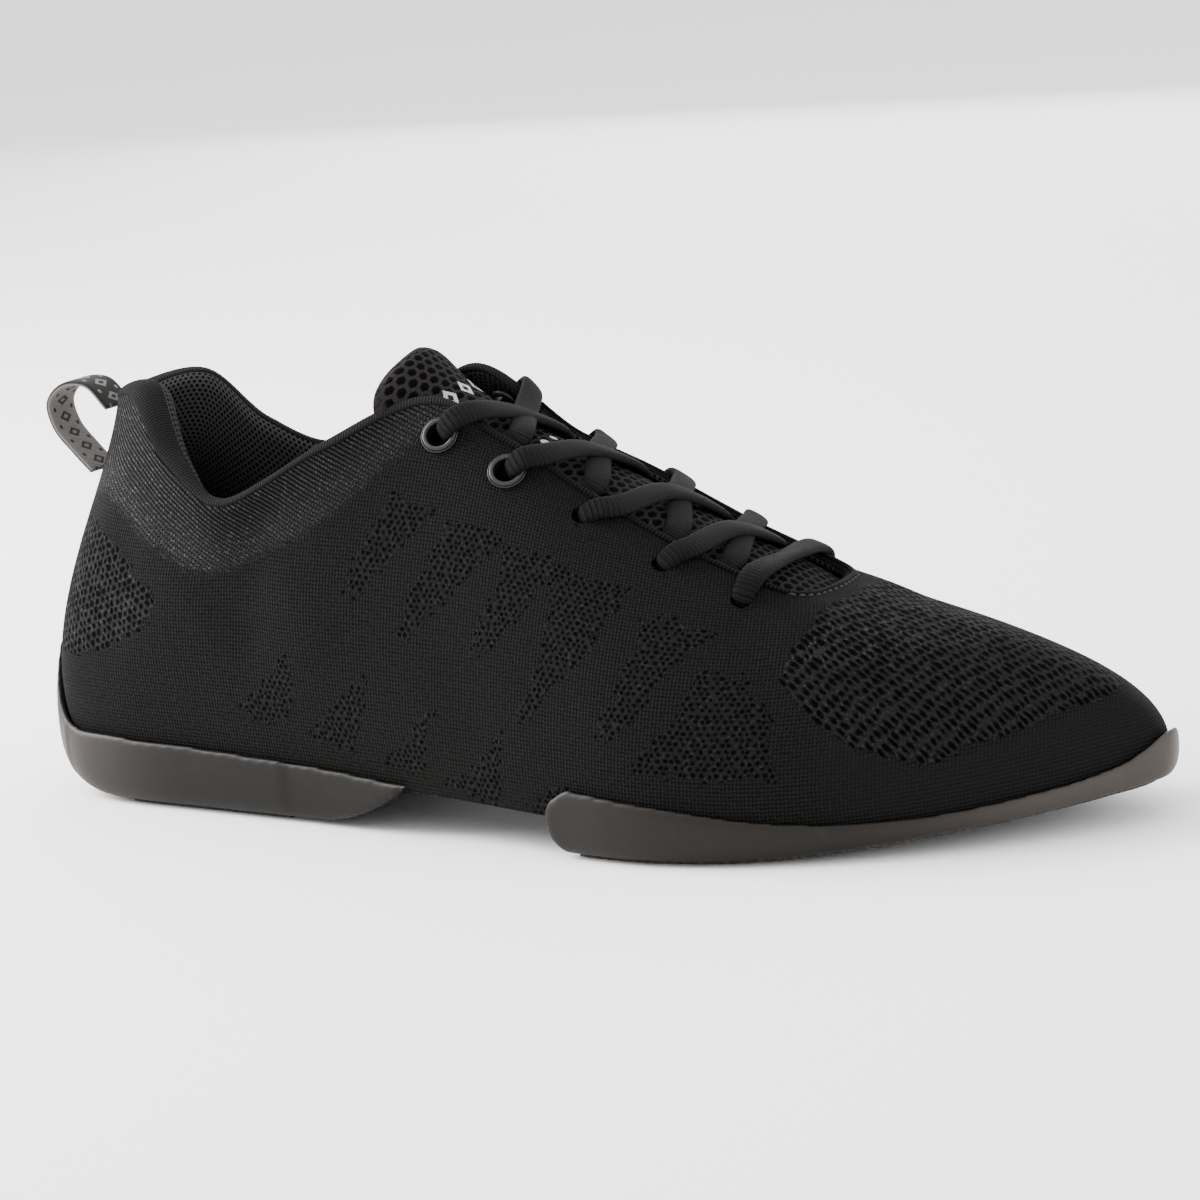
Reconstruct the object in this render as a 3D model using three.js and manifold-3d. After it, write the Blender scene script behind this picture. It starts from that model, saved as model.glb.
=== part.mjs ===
// A low knit dance sneaker with a split sole: one right shoe, standing empty on the floor.
// Units are millimetres. X runs from heel to toe, Y from the outer side of the foot to the inner
// side, and Z is up. The upper is drawn on a last: each section of the last is one curve that
// leaves the edge of the foot bed (the feather line) and climbs to the edge of the opening.
import * as THREE from "three";
import { mergeVertices } from "three/addons/utils/BufferGeometryUtils.js";
import Module from "manifold-3d";

const wasm = await Module();
wasm.setup();

// Last and upper
const LAST_LENGTH = 280; // a European 42
const BALL_WIDTH = 96; // foot bed tables are shares of it
const COLLAR_HEIGHT = 98; // back of the collar above the floor
const WALL = 2.2; // knit with its lining
const COLLAR_PAD = 7.5; // foam added to the wall round the heel
const COLLAR_PAD_DEPTH = 0.62; // share of the wall's height that the foam reaches down
const BINDING = 1.3; // how much the knitted tape thickens the edge of the collar
const LASTING_MARGIN = 11; // upper turned under the foot round each sole unit
const CLEARANCE = 0.3; // between pieces that touch

// Sole
const SEAT_HEIGHT = 13; // foot bed above the floor at the heel
const TREAD = 1.2; // thin pads that meet the floor
const TREAD_INSET = 5; // from the widest line of the sole to the edge of the pads
const PAD_HALF = 27; // half the width of the heel pad
const PAD_ROUND = 22; // its rear corners
const CUP_GAP = 0.35; // between the upper and the cup of a sole unit
const RIM_LEDGE = 2.2; // how far the rim of the sole stands out past the upper
const RIM_HEIGHT = 40; // rim at the back of the heel above the floor
const TOE_SPRING = 9; // rise of the sole's underside at the tip of the toe
const SPRING_START = 0.69; // share of the length where that rise begins
const HEEL_BEVEL = 5; // rise of the underside at the back of the heel
const HEEL_BEVEL_LENGTH = 18;
const HEEL_BREAST = 70; // where the heel unit starts to lift off the floor
const HEEL_TIP = 110; // where it meets the upper under the arch
const NOSE_START = 149.5; // rear end of the forefoot unit
const NOSE_ROUND = 7; // its radius seen from above
const NOSE_LENGTH = 9; // how far its underside and its top are set forward
const NOSE_HEIGHT = 17;

// Insole and tongue
const INSOLE = 4;
const INSOLE_INSET = 1.8;
const INSOLE_GAP = 0.45; // under it
const TONGUE_THICKNESS = 4;
const TONGUE_EDGE = 0.35; // share of the thickness that each face draws in at the sides
const TONGUE_GAP = 0.9;

// Lacing
const LACE_WIDTH = 6.4;
const LACE_THICKNESS = 2.6;
const LACE_LIFT = 0.5; // air between a lace and what it lies over
const LACE_RISE = 0.7; // more of it where a lace comes out of its hole
const LACE_TUCK = 0.9; // less of it where a lace goes under the far edge of the throat
const LACE_STEP = 2; // from the hole below to the line where a lace goes under, towards the heel
const LACE_LAYER = 1.82; // from the lower to the upper lace of a crossing
const HOLE_RADIUS = 2.4;
const EYELET_HOLE = 3.0;
const EYELET_FLANGE = 4.5;
const EYELET_SHEET = 0.7; // thickness of the pressed metal
const EYELET_PLAY = 0.48; // between its barrel and the knit
const EYELET_SEAT = 0.55; // air under its flange, where the wall curves away
const EYELET_BACK_SEAT = 1.26; // the same on the side of the lining, where the wall curves in

// Pull loop
const LOOP_WIDTH = 11;
const LOOP_TAPE = 1.3;
const LOOP_REACH = 16;
const LOOP_DROP = 15; // from the upper end of the tape to the lower one
const LOOP_TOP = 0.97; // share of the wall's height where its upper end is sewn on
const LOOP_LEAN = 0.35; // rise of the loop for its length backwards

// Mesh
const STEPS = 3; // mesh columns between two sections
const CLIMB = 12; // mesh rows from the foot bed to the opening
const LIP_STEPS = 4; // mesh rows over the edge of the opening
const LACE_STEPS = 10;
const LACE_CORNERS = 6;
const LOOP_STEPS = 28;
const RING_SIDES = 12;

// Foot bed. foot is a share of LAST_LENGTH, outer and inner are shares of BALL_WIDTH on each side
// of the axis, lift is a share of SEAT_HEIGHT, and rim a share of RIM_HEIGHT.
const FOOT_BED = [
  { foot: -0.006, outer: 0.0, inner: 0.0, lift: 1.0, rim: 1.0 },
  { foot: 0.011, outer: 0.14, inner: 0.14, lift: 1.0, rim: 0.49 },
  { foot: 0.071, outer: 0.215, inner: 0.22, lift: 1.0, rim: 0.425 },
  { foot: 0.171, outer: 0.263, inner: 0.268, lift: 0.96, rim: 0.4 },
  { foot: 0.3, outer: 0.323, inner: 0.268, lift: 0.88, rim: 0.355 },
  { foot: 0.421, outer: 0.4, inner: 0.258, lift: 0.8, rim: 0.31 },
  { foot: 0.529, outer: 0.469, inner: 0.297, lift: 0.7, rim: 0.41 },
  { foot: 0.629, outer: 0.51, inner: 0.375, lift: 0.56, rim: 0.35 },
  { foot: 0.729, outer: 0.443, inner: 0.43, lift: 0.44, rim: 0.245 },
  { foot: 0.821, outer: 0.305, inner: 0.447, lift: 0.38, rim: 0.225 },
  { foot: 0.9, outer: 0.12, inner: 0.412, lift: 0.36, rim: 0.285 },
  { foot: 0.95, outer: -0.05, inner: 0.32, lift: 0.36, rim: 0.375 },
  { foot: 0.973, outer: -0.17, inner: 0.17, lift: 0.36, rim: 0.52 },
];

// Edge of the opening: collar from the heel to the eyestay, then the throat down to its front.
// at is a share of LAST_LENGTH, outer and inner of BALL_WIDTH, rise of COLLAR_HEIGHT on the outer
// side, and more is what the inner side adds to it. The wall leaves the foot bed by out (share of
// BALL_WIDTH) and up (share of COLLAR_HEIGHT), and reaches the edge at a slope in degrees, over a
// reach that is a share of the straight distance. pad is how much of the collar foam there is, and
// tape is 1 where the edge is bound.
const OPENING = [
  { at: 0.056, outer: 0.0, inner: 0.0, rise: 0.975, more: 0,
    out: 0.11, up: 0.33, slope: 76, reach: 0.3, pad: 1, tape: 1 },
  { at: 0.102, outer: 0.16, inner: 0.16, rise: 0.995, more: 0,
    out: 0.1, up: 0.33, slope: 80, reach: 0.3, pad: 1, tape: 1 },
  { at: 0.148, outer: 0.255, inner: 0.25, rise: 0.837, more: 0.02,
    out: 0.08, up: 0.3, slope: 82, reach: 0.3, pad: 0.8, tape: 1 },
  { at: 0.209, outer: 0.3, inner: 0.29, rise: 0.742, more: 0.045,
    out: 0.06, up: 0.26, slope: 82, reach: 0.3, pad: 0.25, tape: 1 },
  { at: 0.3, outer: 0.25, inner: 0.245, rise: 0.885, more: 0.01,
    out: 0.06, up: 0.26, slope: 68, reach: 0.33, pad: 0, tape: 1 },
  { at: 0.386, outer: 0.15, inner: 0.155, rise: 0.99, more: 0.035,
    out: 0.06, up: 0.26, slope: 54, reach: 0.38, pad: 0, tape: 0.8 },
  { at: 0.464, outer: 0.155, inner: 0.16, rise: 0.905, more: -0.025,
    out: 0.05, up: 0.25, slope: 45, reach: 0.38, pad: 0, tape: 0 },
  { at: 0.536, outer: 0.16, inner: 0.17, rise: 0.785, more: 0,
    out: 0.045, up: 0.24, slope: 38, reach: 0.38, pad: 0, tape: 0 },
  { at: 0.621, outer: 0.16, inner: 0.18, rise: 0.66, more: 0,
    out: 0.045, up: 0.23, slope: 32, reach: 0.4, pad: 0, tape: 0 },
  { at: 0.69, outer: 0.148, inner: 0.18, rise: 0.576, more: 0,
    out: 0.05, up: 0.21, slope: 26, reach: 0.42, pad: 0, tape: 0 },
  { at: 0.71, outer: 0.1, inner: 0.155, rise: 0.553, more: 0,
    out: 0.055, up: 0.195, slope: 19, reach: 0.43, pad: 0, tape: 0 },
  { at: 0.715, outer: 0.03, inner: 0.098, rise: 0.548, more: 0,
    out: 0.06, up: 0.195, slope: 17, reach: 0.43, pad: 0, tape: 0 },
  { at: 0.717, outer: -0.035, inner: 0.035, rise: 0.548, more: 0,
    out: 0.06, up: 0.195, slope: 16, reach: 0.43, pad: 0, tape: 0 },
];

// Side of the sole, from its underside to the top of its rim. out is a share of the sole's reach
// past the foot bed, and rise a share of the height from underside to rim.
const SOLE_SIDE = [
  { out: 0.15, rise: 0.0 },
  { out: 0.55, rise: 0.08 },
  { out: 0.88, rise: 0.3 },
  { out: 1.0, rise: 0.6 },
  { out: 0.97, rise: 0.86 },
  { out: 0.84, rise: 1.0 },
];

// Tongue, from under the front of the throat to its free end. at is a share of LAST_LENGTH, rise of
// COLLAR_HEIGHT (its top surface on the centre line), half of BALL_WIDTH, crown is the drop from the
// centre line to the sides as a share of half, and tip the angle of the cut across it in degrees.
const TONGUE = [
  { at: 0.745, centre: 0.04, rise: 0.475, half: 0.15, crown: 0.22, tip: 16 },
  { at: 0.705, centre: 0.03, rise: 0.525, half: 0.19, crown: 0.3, tip: 22 },
  { at: 0.65, centre: 0.015, rise: 0.622, half: 0.2, crown: 0.36, tip: 28 },
  { at: 0.59, centre: 0.01, rise: 0.712, half: 0.205, crown: 0.4, tip: 31 },
  { at: 0.53, centre: 0.005, rise: 0.795, half: 0.205, crown: 0.45, tip: 33 },
  { at: 0.46, centre: 0.0, rise: 0.9, half: 0.185, crown: 0.7, tip: 36 },
  { at: 0.41, centre: 0.0, rise: 0.985, half: 0.185, crown: 0.8, tip: 39 },
  { at: 0.375, centre: 0.0, rise: 1.06, half: 0.18, crown: 0.76, tip: 42 },
  { at: 0.36, centre: 0.0, rise: 1.1, half: 0.13, crown: 0.6, tip: 44 },
];

// Lace holes, from the toe upwards: at is a share of LAST_LENGTH, and inset, a share of BALL_WIDTH,
// is the distance from the edge of the throat. The two at the top have metal eyelets.
const HOLE_ROWS = [
  { at: 0.675, inset: 0.13 },
  { at: 0.608, inset: 0.12 },
  { at: 0.536, inset: 0.099 },
  { at: 0.469, inset: 0.099 },
  { at: 0.405, inset: 0.083 },
];
const EYELET_ROWS = 2;

// Side of the pull loop, between its two ends. back is a share of LOOP_REACH, up of LOOP_DROP.
const LOOP_PATH = [
  { back: 0.45, up: 0.22 },
  { back: 0.85, up: 0.05 },
  { back: 1.0, up: -0.3 },
  { back: 0.8, up: -0.65 },
  { back: 0.4, up: -0.9 },
];

// Geometry helpers

const SIDES = { lateral: -1, medial: 1 };
const LAST_ROW = FOOT_BED.length - 1;
const UP = new THREE.Vector3(0, 0, 1);
const vec = (x, y, z) => new THREE.Vector3(x, y, z);

// A column of a table at a place between its rows, along a smooth curve through them.
function column(table, name, place) {
  const last = table.length - 1;
  const row = Math.min(Math.floor(place), last - 1);
  const f = place - row;
  const crossesOver = name === "outer" || name === "inner";
  const value = (k) => {
    if (k < 0) return crossesOver ? -table[-k][name] : table[-k][name];
    if (k <= last) return table[k][name];
    const back = table[2 * last - k][name];
    return crossesOver ? 2 * table[last][name] - back : back;
  };
  const [p, q, r, s] = [row - 1, row, row + 1, row + 2].map(value);
  return q + 0.5 * f * (r - p + f * (2 * p - 5 * q + 4 * r - s + f * (3 * (q - r) + s - p)));
}

// Turns rings of points into one closed solid. Rings are stitched one to the next, and the first
// and the last are closed by bands that run across them.
function solidFromRings(rings) {
  const n = rings[0].length;
  const points = rings.flat();
  const faces = [];
  for (let r = 0; r < rings.length - 1; r++) {
    for (let i = 0; i < n; i++) {
      const j = (i + 1) % n;
      const [a, b, c, d] = [r * n + i, r * n + j, (r + 1) * n + j, (r + 1) * n + i];
      faces.push(a, b, c, a, c, d);
    }
  }
  const cap = (start, flip) => {
    for (let i = 0; i < n / 2; i++) {
      const [a, b] = [start + i, start + i + 1];
      const [c, d] = [start + ((n - i - 1) % n), start + ((n - i) % n)];
      const tris = [];
      if (b !== c) tris.push([a, b, c]);
      if (a !== d) tris.push([a, c, d]);
      for (const t of tris) {
        if (new Set(t).size === 3) faces.push(...(flip ? [t[0], t[2], t[1]] : t));
      }
    }
  };
  cap(0, true);
  cap((rings.length - 1) * n, false);
  return solidFromFaces(points, faces);
}

function solidFromFaces(points, faces) {
  const geometry = new THREE.BufferGeometry().setFromPoints(points).setIndex(faces);
  return solidFromGeometry(geometry);
}

function solidFromGeometry(source) {
  const geometry = source.clone();
  geometry.deleteAttribute("normal");
  geometry.deleteAttribute("uv");
  const merged = mergeVertices(geometry, 1e-4);
  const triVerts = [];
  const index = merged.index.array;
  for (let i = 0; i < index.length; i += 3) {
    const [a, b, c] = [index[i], index[i + 1], index[i + 2]];
    if (a !== b && b !== c && c !== a) triVerts.push(a, b, c);
  }
  const solid = new wasm.Manifold(
    new wasm.Mesh({
      numProp: 3,
      vertProperties: merged.attributes.position.array,
      triVerts: new Uint32Array(triVerts),
    }),
  );
  if (solid.volume() > 0) return solid;
  for (let i = 0; i < triVerts.length; i += 3) {
    [triVerts[i + 1], triVerts[i + 2]] = [triVerts[i + 2], triVerts[i + 1]];
  }
  return new wasm.Manifold(
    new wasm.Mesh({
      numProp: 3,
      vertProperties: merged.attributes.position.array,
      triVerts: new Uint32Array(triVerts),
    }),
  );
}

function geometryFromSolid(solid) {
  const mesh = solid.getMesh();
  const positions = new Float32Array(mesh.numVert * 3);
  for (let i = 0; i < mesh.numVert; i++) {
    positions.set(mesh.vertProperties.subarray(i * mesh.numProp, i * mesh.numProp + 3), i * 3);
  }
  const geometry = new THREE.BufferGeometry();
  geometry.setAttribute("position", new THREE.BufferAttribute(positions, 3));
  geometry.setIndex(new THREE.BufferAttribute(mesh.triVerts, 1));
  geometry.computeVertexNormals();
  return geometry;
}

function largestBody(solid) {
  return solid.decompose().sort((a, b) => b.volume() - a.volume())[0];
}

function lowestBody(solid) {
  const middle = (body) => (body.boundingBox().min[2] + body.boundingBox().max[2]) / 2;
  const bodies = solid.decompose().filter((body) => body.volume() > 1);
  return bodies.sort((a, b) => middle(a) - middle(b))[0];
}

// The last

// Rise of the sole's underside above the flat spots, at a distance from the heel.
function spring(x) {
  const toe = Math.max(0, (x / LAST_LENGTH - SPRING_START) / (1 - SPRING_START));
  const heel = Math.max(0, 1 - x / HEEL_BEVEL_LENGTH);
  return TOE_SPRING * toe ** 1.4 + HEEL_BEVEL * heel ** 2;
}

function featherPoint(place, side) {
  const x = column(FOOT_BED, "foot", place) * LAST_LENGTH;
  const half = column(FOOT_BED, side > 0 ? "inner" : "outer", place) * BALL_WIDTH;
  const toe = spring(Math.max(x, HEEL_BEVEL_LENGTH));
  return vec(x, side * half, column(FOOT_BED, "lift", place) * SEAT_HEIGHT + toe);
}

// Horizontal direction that points away from the foot, square to the feather line.
function outward(place, side) {
  const step = 0.05;
  const [low, high] = [place - step, place + step];
  const before = low < 0 ? featherPoint(-low, -side) : featherPoint(low, side);
  const after = high > LAST_ROW ? featherPoint(2 * LAST_ROW - high, -side) : featherPoint(high, side);
  const along = after.sub(before);
  return vec(side * -along.y, side * along.x, 0).normalize();
}

// A point of the upper's outer surface, from the feather line (climb 0) to the opening (climb 1).
function lastPoint(place, side, climb) {
  const get = (name) => column(OPENING, name, place);
  const foot = featherPoint(place, side);
  const half = get(side > 0 ? "inner" : "outer") * BALL_WIDTH;
  const rise = get("rise") + (side > 0 ? get("more") : 0);
  const edge = vec(get("at") * LAST_LENGTH, side * half, rise * COLLAR_HEIGHT);
  const reach = foot.distanceTo(edge) * get("reach");
  const slope = THREE.MathUtils.degToRad(get("slope"));
  const fall = vec(foot.x - edge.x, foot.y - edge.y, 0);
  const plan = fall.length() < 1 ? outward(place, side) : fall.normalize();
  const leave = outward(place, side).multiplyScalar(get("out") * BALL_WIDTH);
  leave.addScaledVector(UP, get("up") * COLLAR_HEIGHT);
  const arrive = plan.multiplyScalar(Math.cos(slope) * reach);
  arrive.addScaledVector(UP, -Math.sin(slope) * reach);
  const [low, high] = [foot.clone().add(leave), edge.clone().add(arrive)];
  return new THREE.CubicBezierCurve3(foot, low, high, edge).getPoint(climb);
}

// Columns of the mesh run once round the shoe: heel, outer side, toe, inner side.
const COLUMNS = 2 * LAST_ROW * STEPS;
function columnPlace(i) {
  const k = ((i % COLUMNS) + COLUMNS) % COLUMNS;
  const half = LAST_ROW * STEPS;
  return k <= half ? [k / STEPS, SIDES.lateral] : [(COLUMNS - k) / STEPS, SIDES.medial];
}

const around = (make) => Array.from({ length: COLUMNS }, (_, i) => make(...columnPlace(i), i));
const climbs = Array.from({ length: CLIMB + 1 }, (_, k) => k / CLIMB);
const lastGrid = climbs.map((climb) => around((place, side) => lastPoint(place, side, climb)));

// Outward normals of the last, from its neighbours on the grid.
const lastNormals = lastGrid.map((ring, r) =>
  ring.map((_, i) => {
    const up = lastGrid[Math.min(r + 1, CLIMB)][i].clone().sub(lastGrid[Math.max(r - 1, 0)][i]);
    const along = ring[(i + 1) % COLUMNS].clone().sub(ring[(i - 1 + COLUMNS) % COLUMNS]);
    return along.cross(up).normalize();
  }),
);

// Point and normal of the last at any place.
function onLast(place, side, climb) {
  const step = 0.02;
  const above = lastPoint(place, side, Math.min(1, climb + step));
  const up = above.sub(lastPoint(place, side, climb - step));
  const ahead = lastPoint(Math.min(place + step, LAST_ROW), side, climb);
  const along = ahead.sub(lastPoint(Math.max(place - step, 0), side, climb));
  const normal = up.cross(along).multiplyScalar(side).normalize();
  return { point: lastPoint(place, side, climb), normal };
}

// A closed body bounded by the last moved out by a distance, up to the opening.
function lastBody(distance) {
  const rings = lastGrid.map((ring, r) =>
    ring.map((p, i) => p.clone().addScaledVector(lastNormals[r][i], distance)),
  );
  rings.unshift(lastGrid[0].map((p, i) => rings[0][i].clone().setZ(p.z - distance)));
  return solidFromRings(rings);
}

// Upper

function wallThickness(place, climb) {
  const pad = COLLAR_PAD * Math.max(0, column(OPENING, "pad", place));
  const share = THREE.MathUtils.smoothstep(climb, 1 - COLLAR_PAD_DEPTH, 0.9);
  return WALL + pad * share;
}

// The upper's shell, with its wall thickened by a clearance on the inside.
function upperShell(clearance) {
  const shift = (r, i, place, climb, distance) =>
    lastGrid[r][i].clone().addScaledVector(lastNormals[r][i], distance);
  const outer = climbs.map((climb, r) => around((place, side, i) => shift(r, i, place, climb, 0)));
  const inner = climbs.map((climb, r) =>
    around((place, side, i) => shift(r, i, place, climb, -wallThickness(place, climb) - clearance)),
  );
  inner[0] = around((place, side, i) => inner[0][i].setZ(lastGrid[0][i].z + WALL + clearance));
  const lip = Array.from({ length: LIP_STEPS - 1 }, (_, k) =>
    around((place, side, i) => {
      const turn = (Math.PI * (k + 1)) / LIP_STEPS;
      const bead = BINDING * Math.max(0, column(OPENING, "tape", place));
      const half = (wallThickness(place, 1) + clearance) / 2;
      const middle = outer[CLIMB][i].clone().addScaledVector(lastNormals[CLIMB][i], -half);
      const beyond = outer[CLIMB][i].clone().sub(outer[CLIMB - 1][i]).normalize();
      return middle
        .addScaledVector(lastNormals[CLIMB][i], half * Math.cos(turn))
        .addScaledVector(beyond, (Math.min(half, WALL) + bead) * Math.sin(turn));
    }),
  );
  return solidFromRings([...outer, ...lip, ...inner.reverse()]);
}

// A closed outline that follows the foot bed at a distance inside it, raised by a height.
function footRing(inset, height) {
  return around((place, side) =>
    featherPoint(place, side).addScaledVector(outward(place, side), -inset).addScaledVector(UP, height),
  );
}

// A prism seen from the side: outline in X and Z, wider than the shoe.
function sidePrism(shape) {
  const depth = 2 * BALL_WIDTH;
  const options = { depth, bevelEnabled: false, curveSegments: 10 };
  const geometry = new THREE.ExtrudeGeometry(shape, options);
  geometry.rotateX(Math.PI / 2).translate(0, depth / 2, 0);
  return solidFromGeometry(geometry);
}

// A prism seen from above: outline in X and Y, taller than the shoe.
function planPrism(shape) {
  const depth = 2 * COLLAR_HEIGHT;
  const options = { depth, bevelEnabled: false, curveSegments: 10 };
  const geometry = new THREE.ExtrudeGeometry(shape, options);
  geometry.translate(0, 0, -depth / 2);
  return solidFromGeometry(geometry);
}

// Outlines of the two sole units from the side. Under the arch the heel unit rises in a wedge to
// the upper, and the forefoot unit ends in a round nose.
function heelProfile(back) {
  const [breast, tip] = [HEEL_BREAST - back, HEEL_TIP - back];
  const shape = new THREE.Shape();
  shape.moveTo(-LAST_LENGTH, -SEAT_HEIGHT);
  shape.lineTo(breast, -SEAT_HEIGHT);
  shape.lineTo(breast, 0);
  shape.quadraticCurveTo(breast + (tip - breast) * 0.6, 0, tip, SEAT_HEIGHT);
  shape.lineTo(tip, COLLAR_HEIGHT);
  shape.lineTo(-LAST_LENGTH, COLLAR_HEIGHT);
  return shape;
}

function noseProfile(forward) {
  const start = NOSE_START + forward;
  const under = start + NOSE_LENGTH;
  const [low, middle, high] = [0.25, 0.55, 0.85].map((share) => share * NOSE_HEIGHT);
  const shape = new THREE.Shape();
  shape.moveTo(under, -SEAT_HEIGHT);
  shape.lineTo(under, 0);
  shape.bezierCurveTo(start + NOSE_LENGTH * 0.4, 0, start, low, start, middle);
  shape.quadraticCurveTo(start, high, under, NOSE_HEIGHT);
  shape.lineTo(start + 2 * NOSE_LENGTH, COLLAR_HEIGHT);
  shape.lineTo(2 * LAST_LENGTH, COLLAR_HEIGHT);
  shape.lineTo(2 * LAST_LENGTH, -SEAT_HEIGHT);
  return shape;
}

// A strip along the shoe between two distances from the heel, with its rear corners rounded.
function strip(from, to, half, round) {
  const shape = new THREE.Shape();
  shape.moveTo(from + round, -half);
  shape.lineTo(to, -half);
  shape.lineTo(to, half);
  shape.lineTo(from + round, half);
  shape.quadraticCurveTo(from, half, from, half - round);
  shape.lineTo(from, round - half);
  shape.quadraticCurveTo(from, -half, from + round, -half);
  return planPrism(shape);
}

// Openings under the foot, where the two sole units close the upper. Between them the knit runs
// on under the arch.
function bottomOpenings() {
  const heights = [-SEAT_HEIGHT, WALL + SEAT_HEIGHT / 2];
  const whole = solidFromRings(heights.map((height) => footRing(LASTING_MARGIN, height)));
  const heel = whole.intersect(sidePrism(heelProfile(HEEL_TIP - HEEL_BREAST + LASTING_MARGIN)));
  const front = whole.intersect(sidePrism(noseProfile(LASTING_MARGIN + NOSE_LENGTH)));
  return heel.add(front);
}

// The place from which on a line along the throat lies further from the heel than x.
function placeAt(x, distance) {
  let [low, high] = [4, LAST_ROW];
  for (let k = 0; k < 24; k++) {
    const place = (low + high) / 2;
    if (distance(place) > x) high = place;
    else low = place;
  }
  return low;
}

// The point of the last at a distance x from the heel and inset from the edge of the throat.
function besideThroat(x, inset, side) {
  const share = 0.25;
  const climbOf = (place) => {
    const upperPart = lastPoint(place, side, 1 - share).distanceTo(lastPoint(place, side, 1));
    return 1 - (inset * share) / upperPart;
  };
  const place = placeAt(x, (near) => lastPoint(near, side, climbOf(near)).x);
  return onLast(place, side, climbOf(place));
}

// Place of the throat's edge at a distance x from the heel.
function throatPlace(x) {
  return placeAt(x, (place) => column(OPENING, "at", place) * LAST_LENGTH);
}

// Lace holes: point, normal and row of each, on both sides of the throat.
function laceHoles() {
  return Object.entries(SIDES).flatMap(([name, side]) =>
    HOLE_ROWS.map(({ at, inset }, k) => {
      const spot = besideThroat(at * LAST_LENGTH, inset * BALL_WIDTH, side);
      return { name, side, row: k + 1, ...spot };
    }),
  );
}

const hasEyelet = (hole) => hole.row > HOLE_ROWS.length - EYELET_ROWS;

// A mesh turned so that its own Y axis lies along a normal at a point.
function placedOn(geometry, point, normal) {
  const turn = new THREE.Quaternion().setFromUnitVectors(vec(0, 1, 0), normal);
  return geometry.clone().applyQuaternion(turn).translate(point.x, point.y, point.z);
}

function makeUpper(holes) {
  let upper = upperShell(0).subtract(bottomOpenings());
  for (const hole of holes) {
    const radius = hasEyelet(hole) ? EYELET_HOLE + EYELET_SHEET + EYELET_PLAY : HOLE_RADIUS;
    const drill = new THREE.CylinderGeometry(radius, radius, 6 * WALL, 16);
    upper = upper.subtract(solidFromGeometry(placedOn(drill, hole.point, hole.normal)));
  }
  return upper;
}

// Soles

// How far the sole stands out past the feather line at a place: as far as the upper below the
// rim's height, and the ledge.
function soleReach(place, side) {
  const foot = featherPoint(place, side);
  const out = outward(place, side);
  const rim = rimHeight(place);
  let most = 0;
  for (let climb = 0; climb <= 1; climb += 0.02) {
    const p = lastPoint(place, side, climb);
    if (p.z > rim) break;
    most = Math.max(most, p.sub(foot).dot(out));
  }
  return most + RIM_LEDGE;
}

function rimHeight(place) {
  return column(FOOT_BED, "rim", place) * RIM_HEIGHT;
}

function soleRing(out, rise) {
  return around((place, side) => {
    const reach = soleReach(place, side);
    const point = featherPoint(place, side).addScaledVector(outward(place, side), reach * out);
    const floor = TREAD + spring(column(FOOT_BED, "foot", place) * LAST_LENGTH);
    return point.setZ(floor + rise * (rimHeight(place) - floor));
  });
}

function makeSoles() {
  const blank = solidFromRings(SOLE_SIDE.map((row) => soleRing(row.out, row.rise)));
  const cup = blank.subtract(lastBody(CUP_GAP));
  const half = BALL_WIDTH / 2 + NOSE_ROUND;
  const plan = strip(NOSE_START, 2 * LAST_LENGTH, half, NOSE_ROUND);
  return {
    sole_heel: largestBody(cup.intersect(sidePrism(heelProfile(0)))),
    sole_forefoot: largestBody(cup.intersect(sidePrism(noseProfile(0))).intersect(plan)),
  };
}

// Thin pads under the sole units.
function makeTreads(soles) {
  const ring = (height) =>
    around((place, side) => {
      const reach = soleReach(place, side) - TREAD_INSET;
      const point = featherPoint(place, side).addScaledVector(outward(place, side), reach);
      return point.setZ(height + spring(column(FOOT_BED, "foot", place) * LAST_LENGTH));
    });
  const sheet = solidFromRings([ring(0), ring(2 * TREAD)]);
  const under = (sole) => sheet.subtract(sole.translate([0, 0, -CLEARANCE]));
  const [rear, front] = [HEEL_BEVEL_LENGTH, NOSE_START + 0.75 * NOSE_LENGTH];
  const heelPlan = strip(rear, HEEL_BREAST, PAD_HALF, PAD_ROUND);
  const ballPlan = strip(front, 2 * LAST_LENGTH, BALL_WIDTH, NOSE_ROUND);
  return {
    tread_heel: lowestBody(under(soles.sole_heel).intersect(heelPlan)),
    tread_forefoot: lowestBody(under(soles.sole_forefoot).intersect(ballPlan)),
  };
}

// Insole

function makeInsole() {
  const inset = WALL + CLEARANCE + INSOLE_INSET;
  const base = WALL + INSOLE_GAP;
  return solidFromRings([
    footRing(inset + 1, base),
    footRing(inset, base + INSOLE / 2),
    footRing(inset + 0.5, base + INSOLE),
  ]);
}

// Tongue

const TONGUE_SIDE_POINTS = 8;

// Its top surface on the centre line.
function tongueCentre(place) {
  const get = (name) => column(TONGUE, name, place);
  return vec(get("at") * LAST_LENGTH, get("centre") * BALL_WIDTH, get("rise") * COLLAR_HEIGHT);
}

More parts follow.
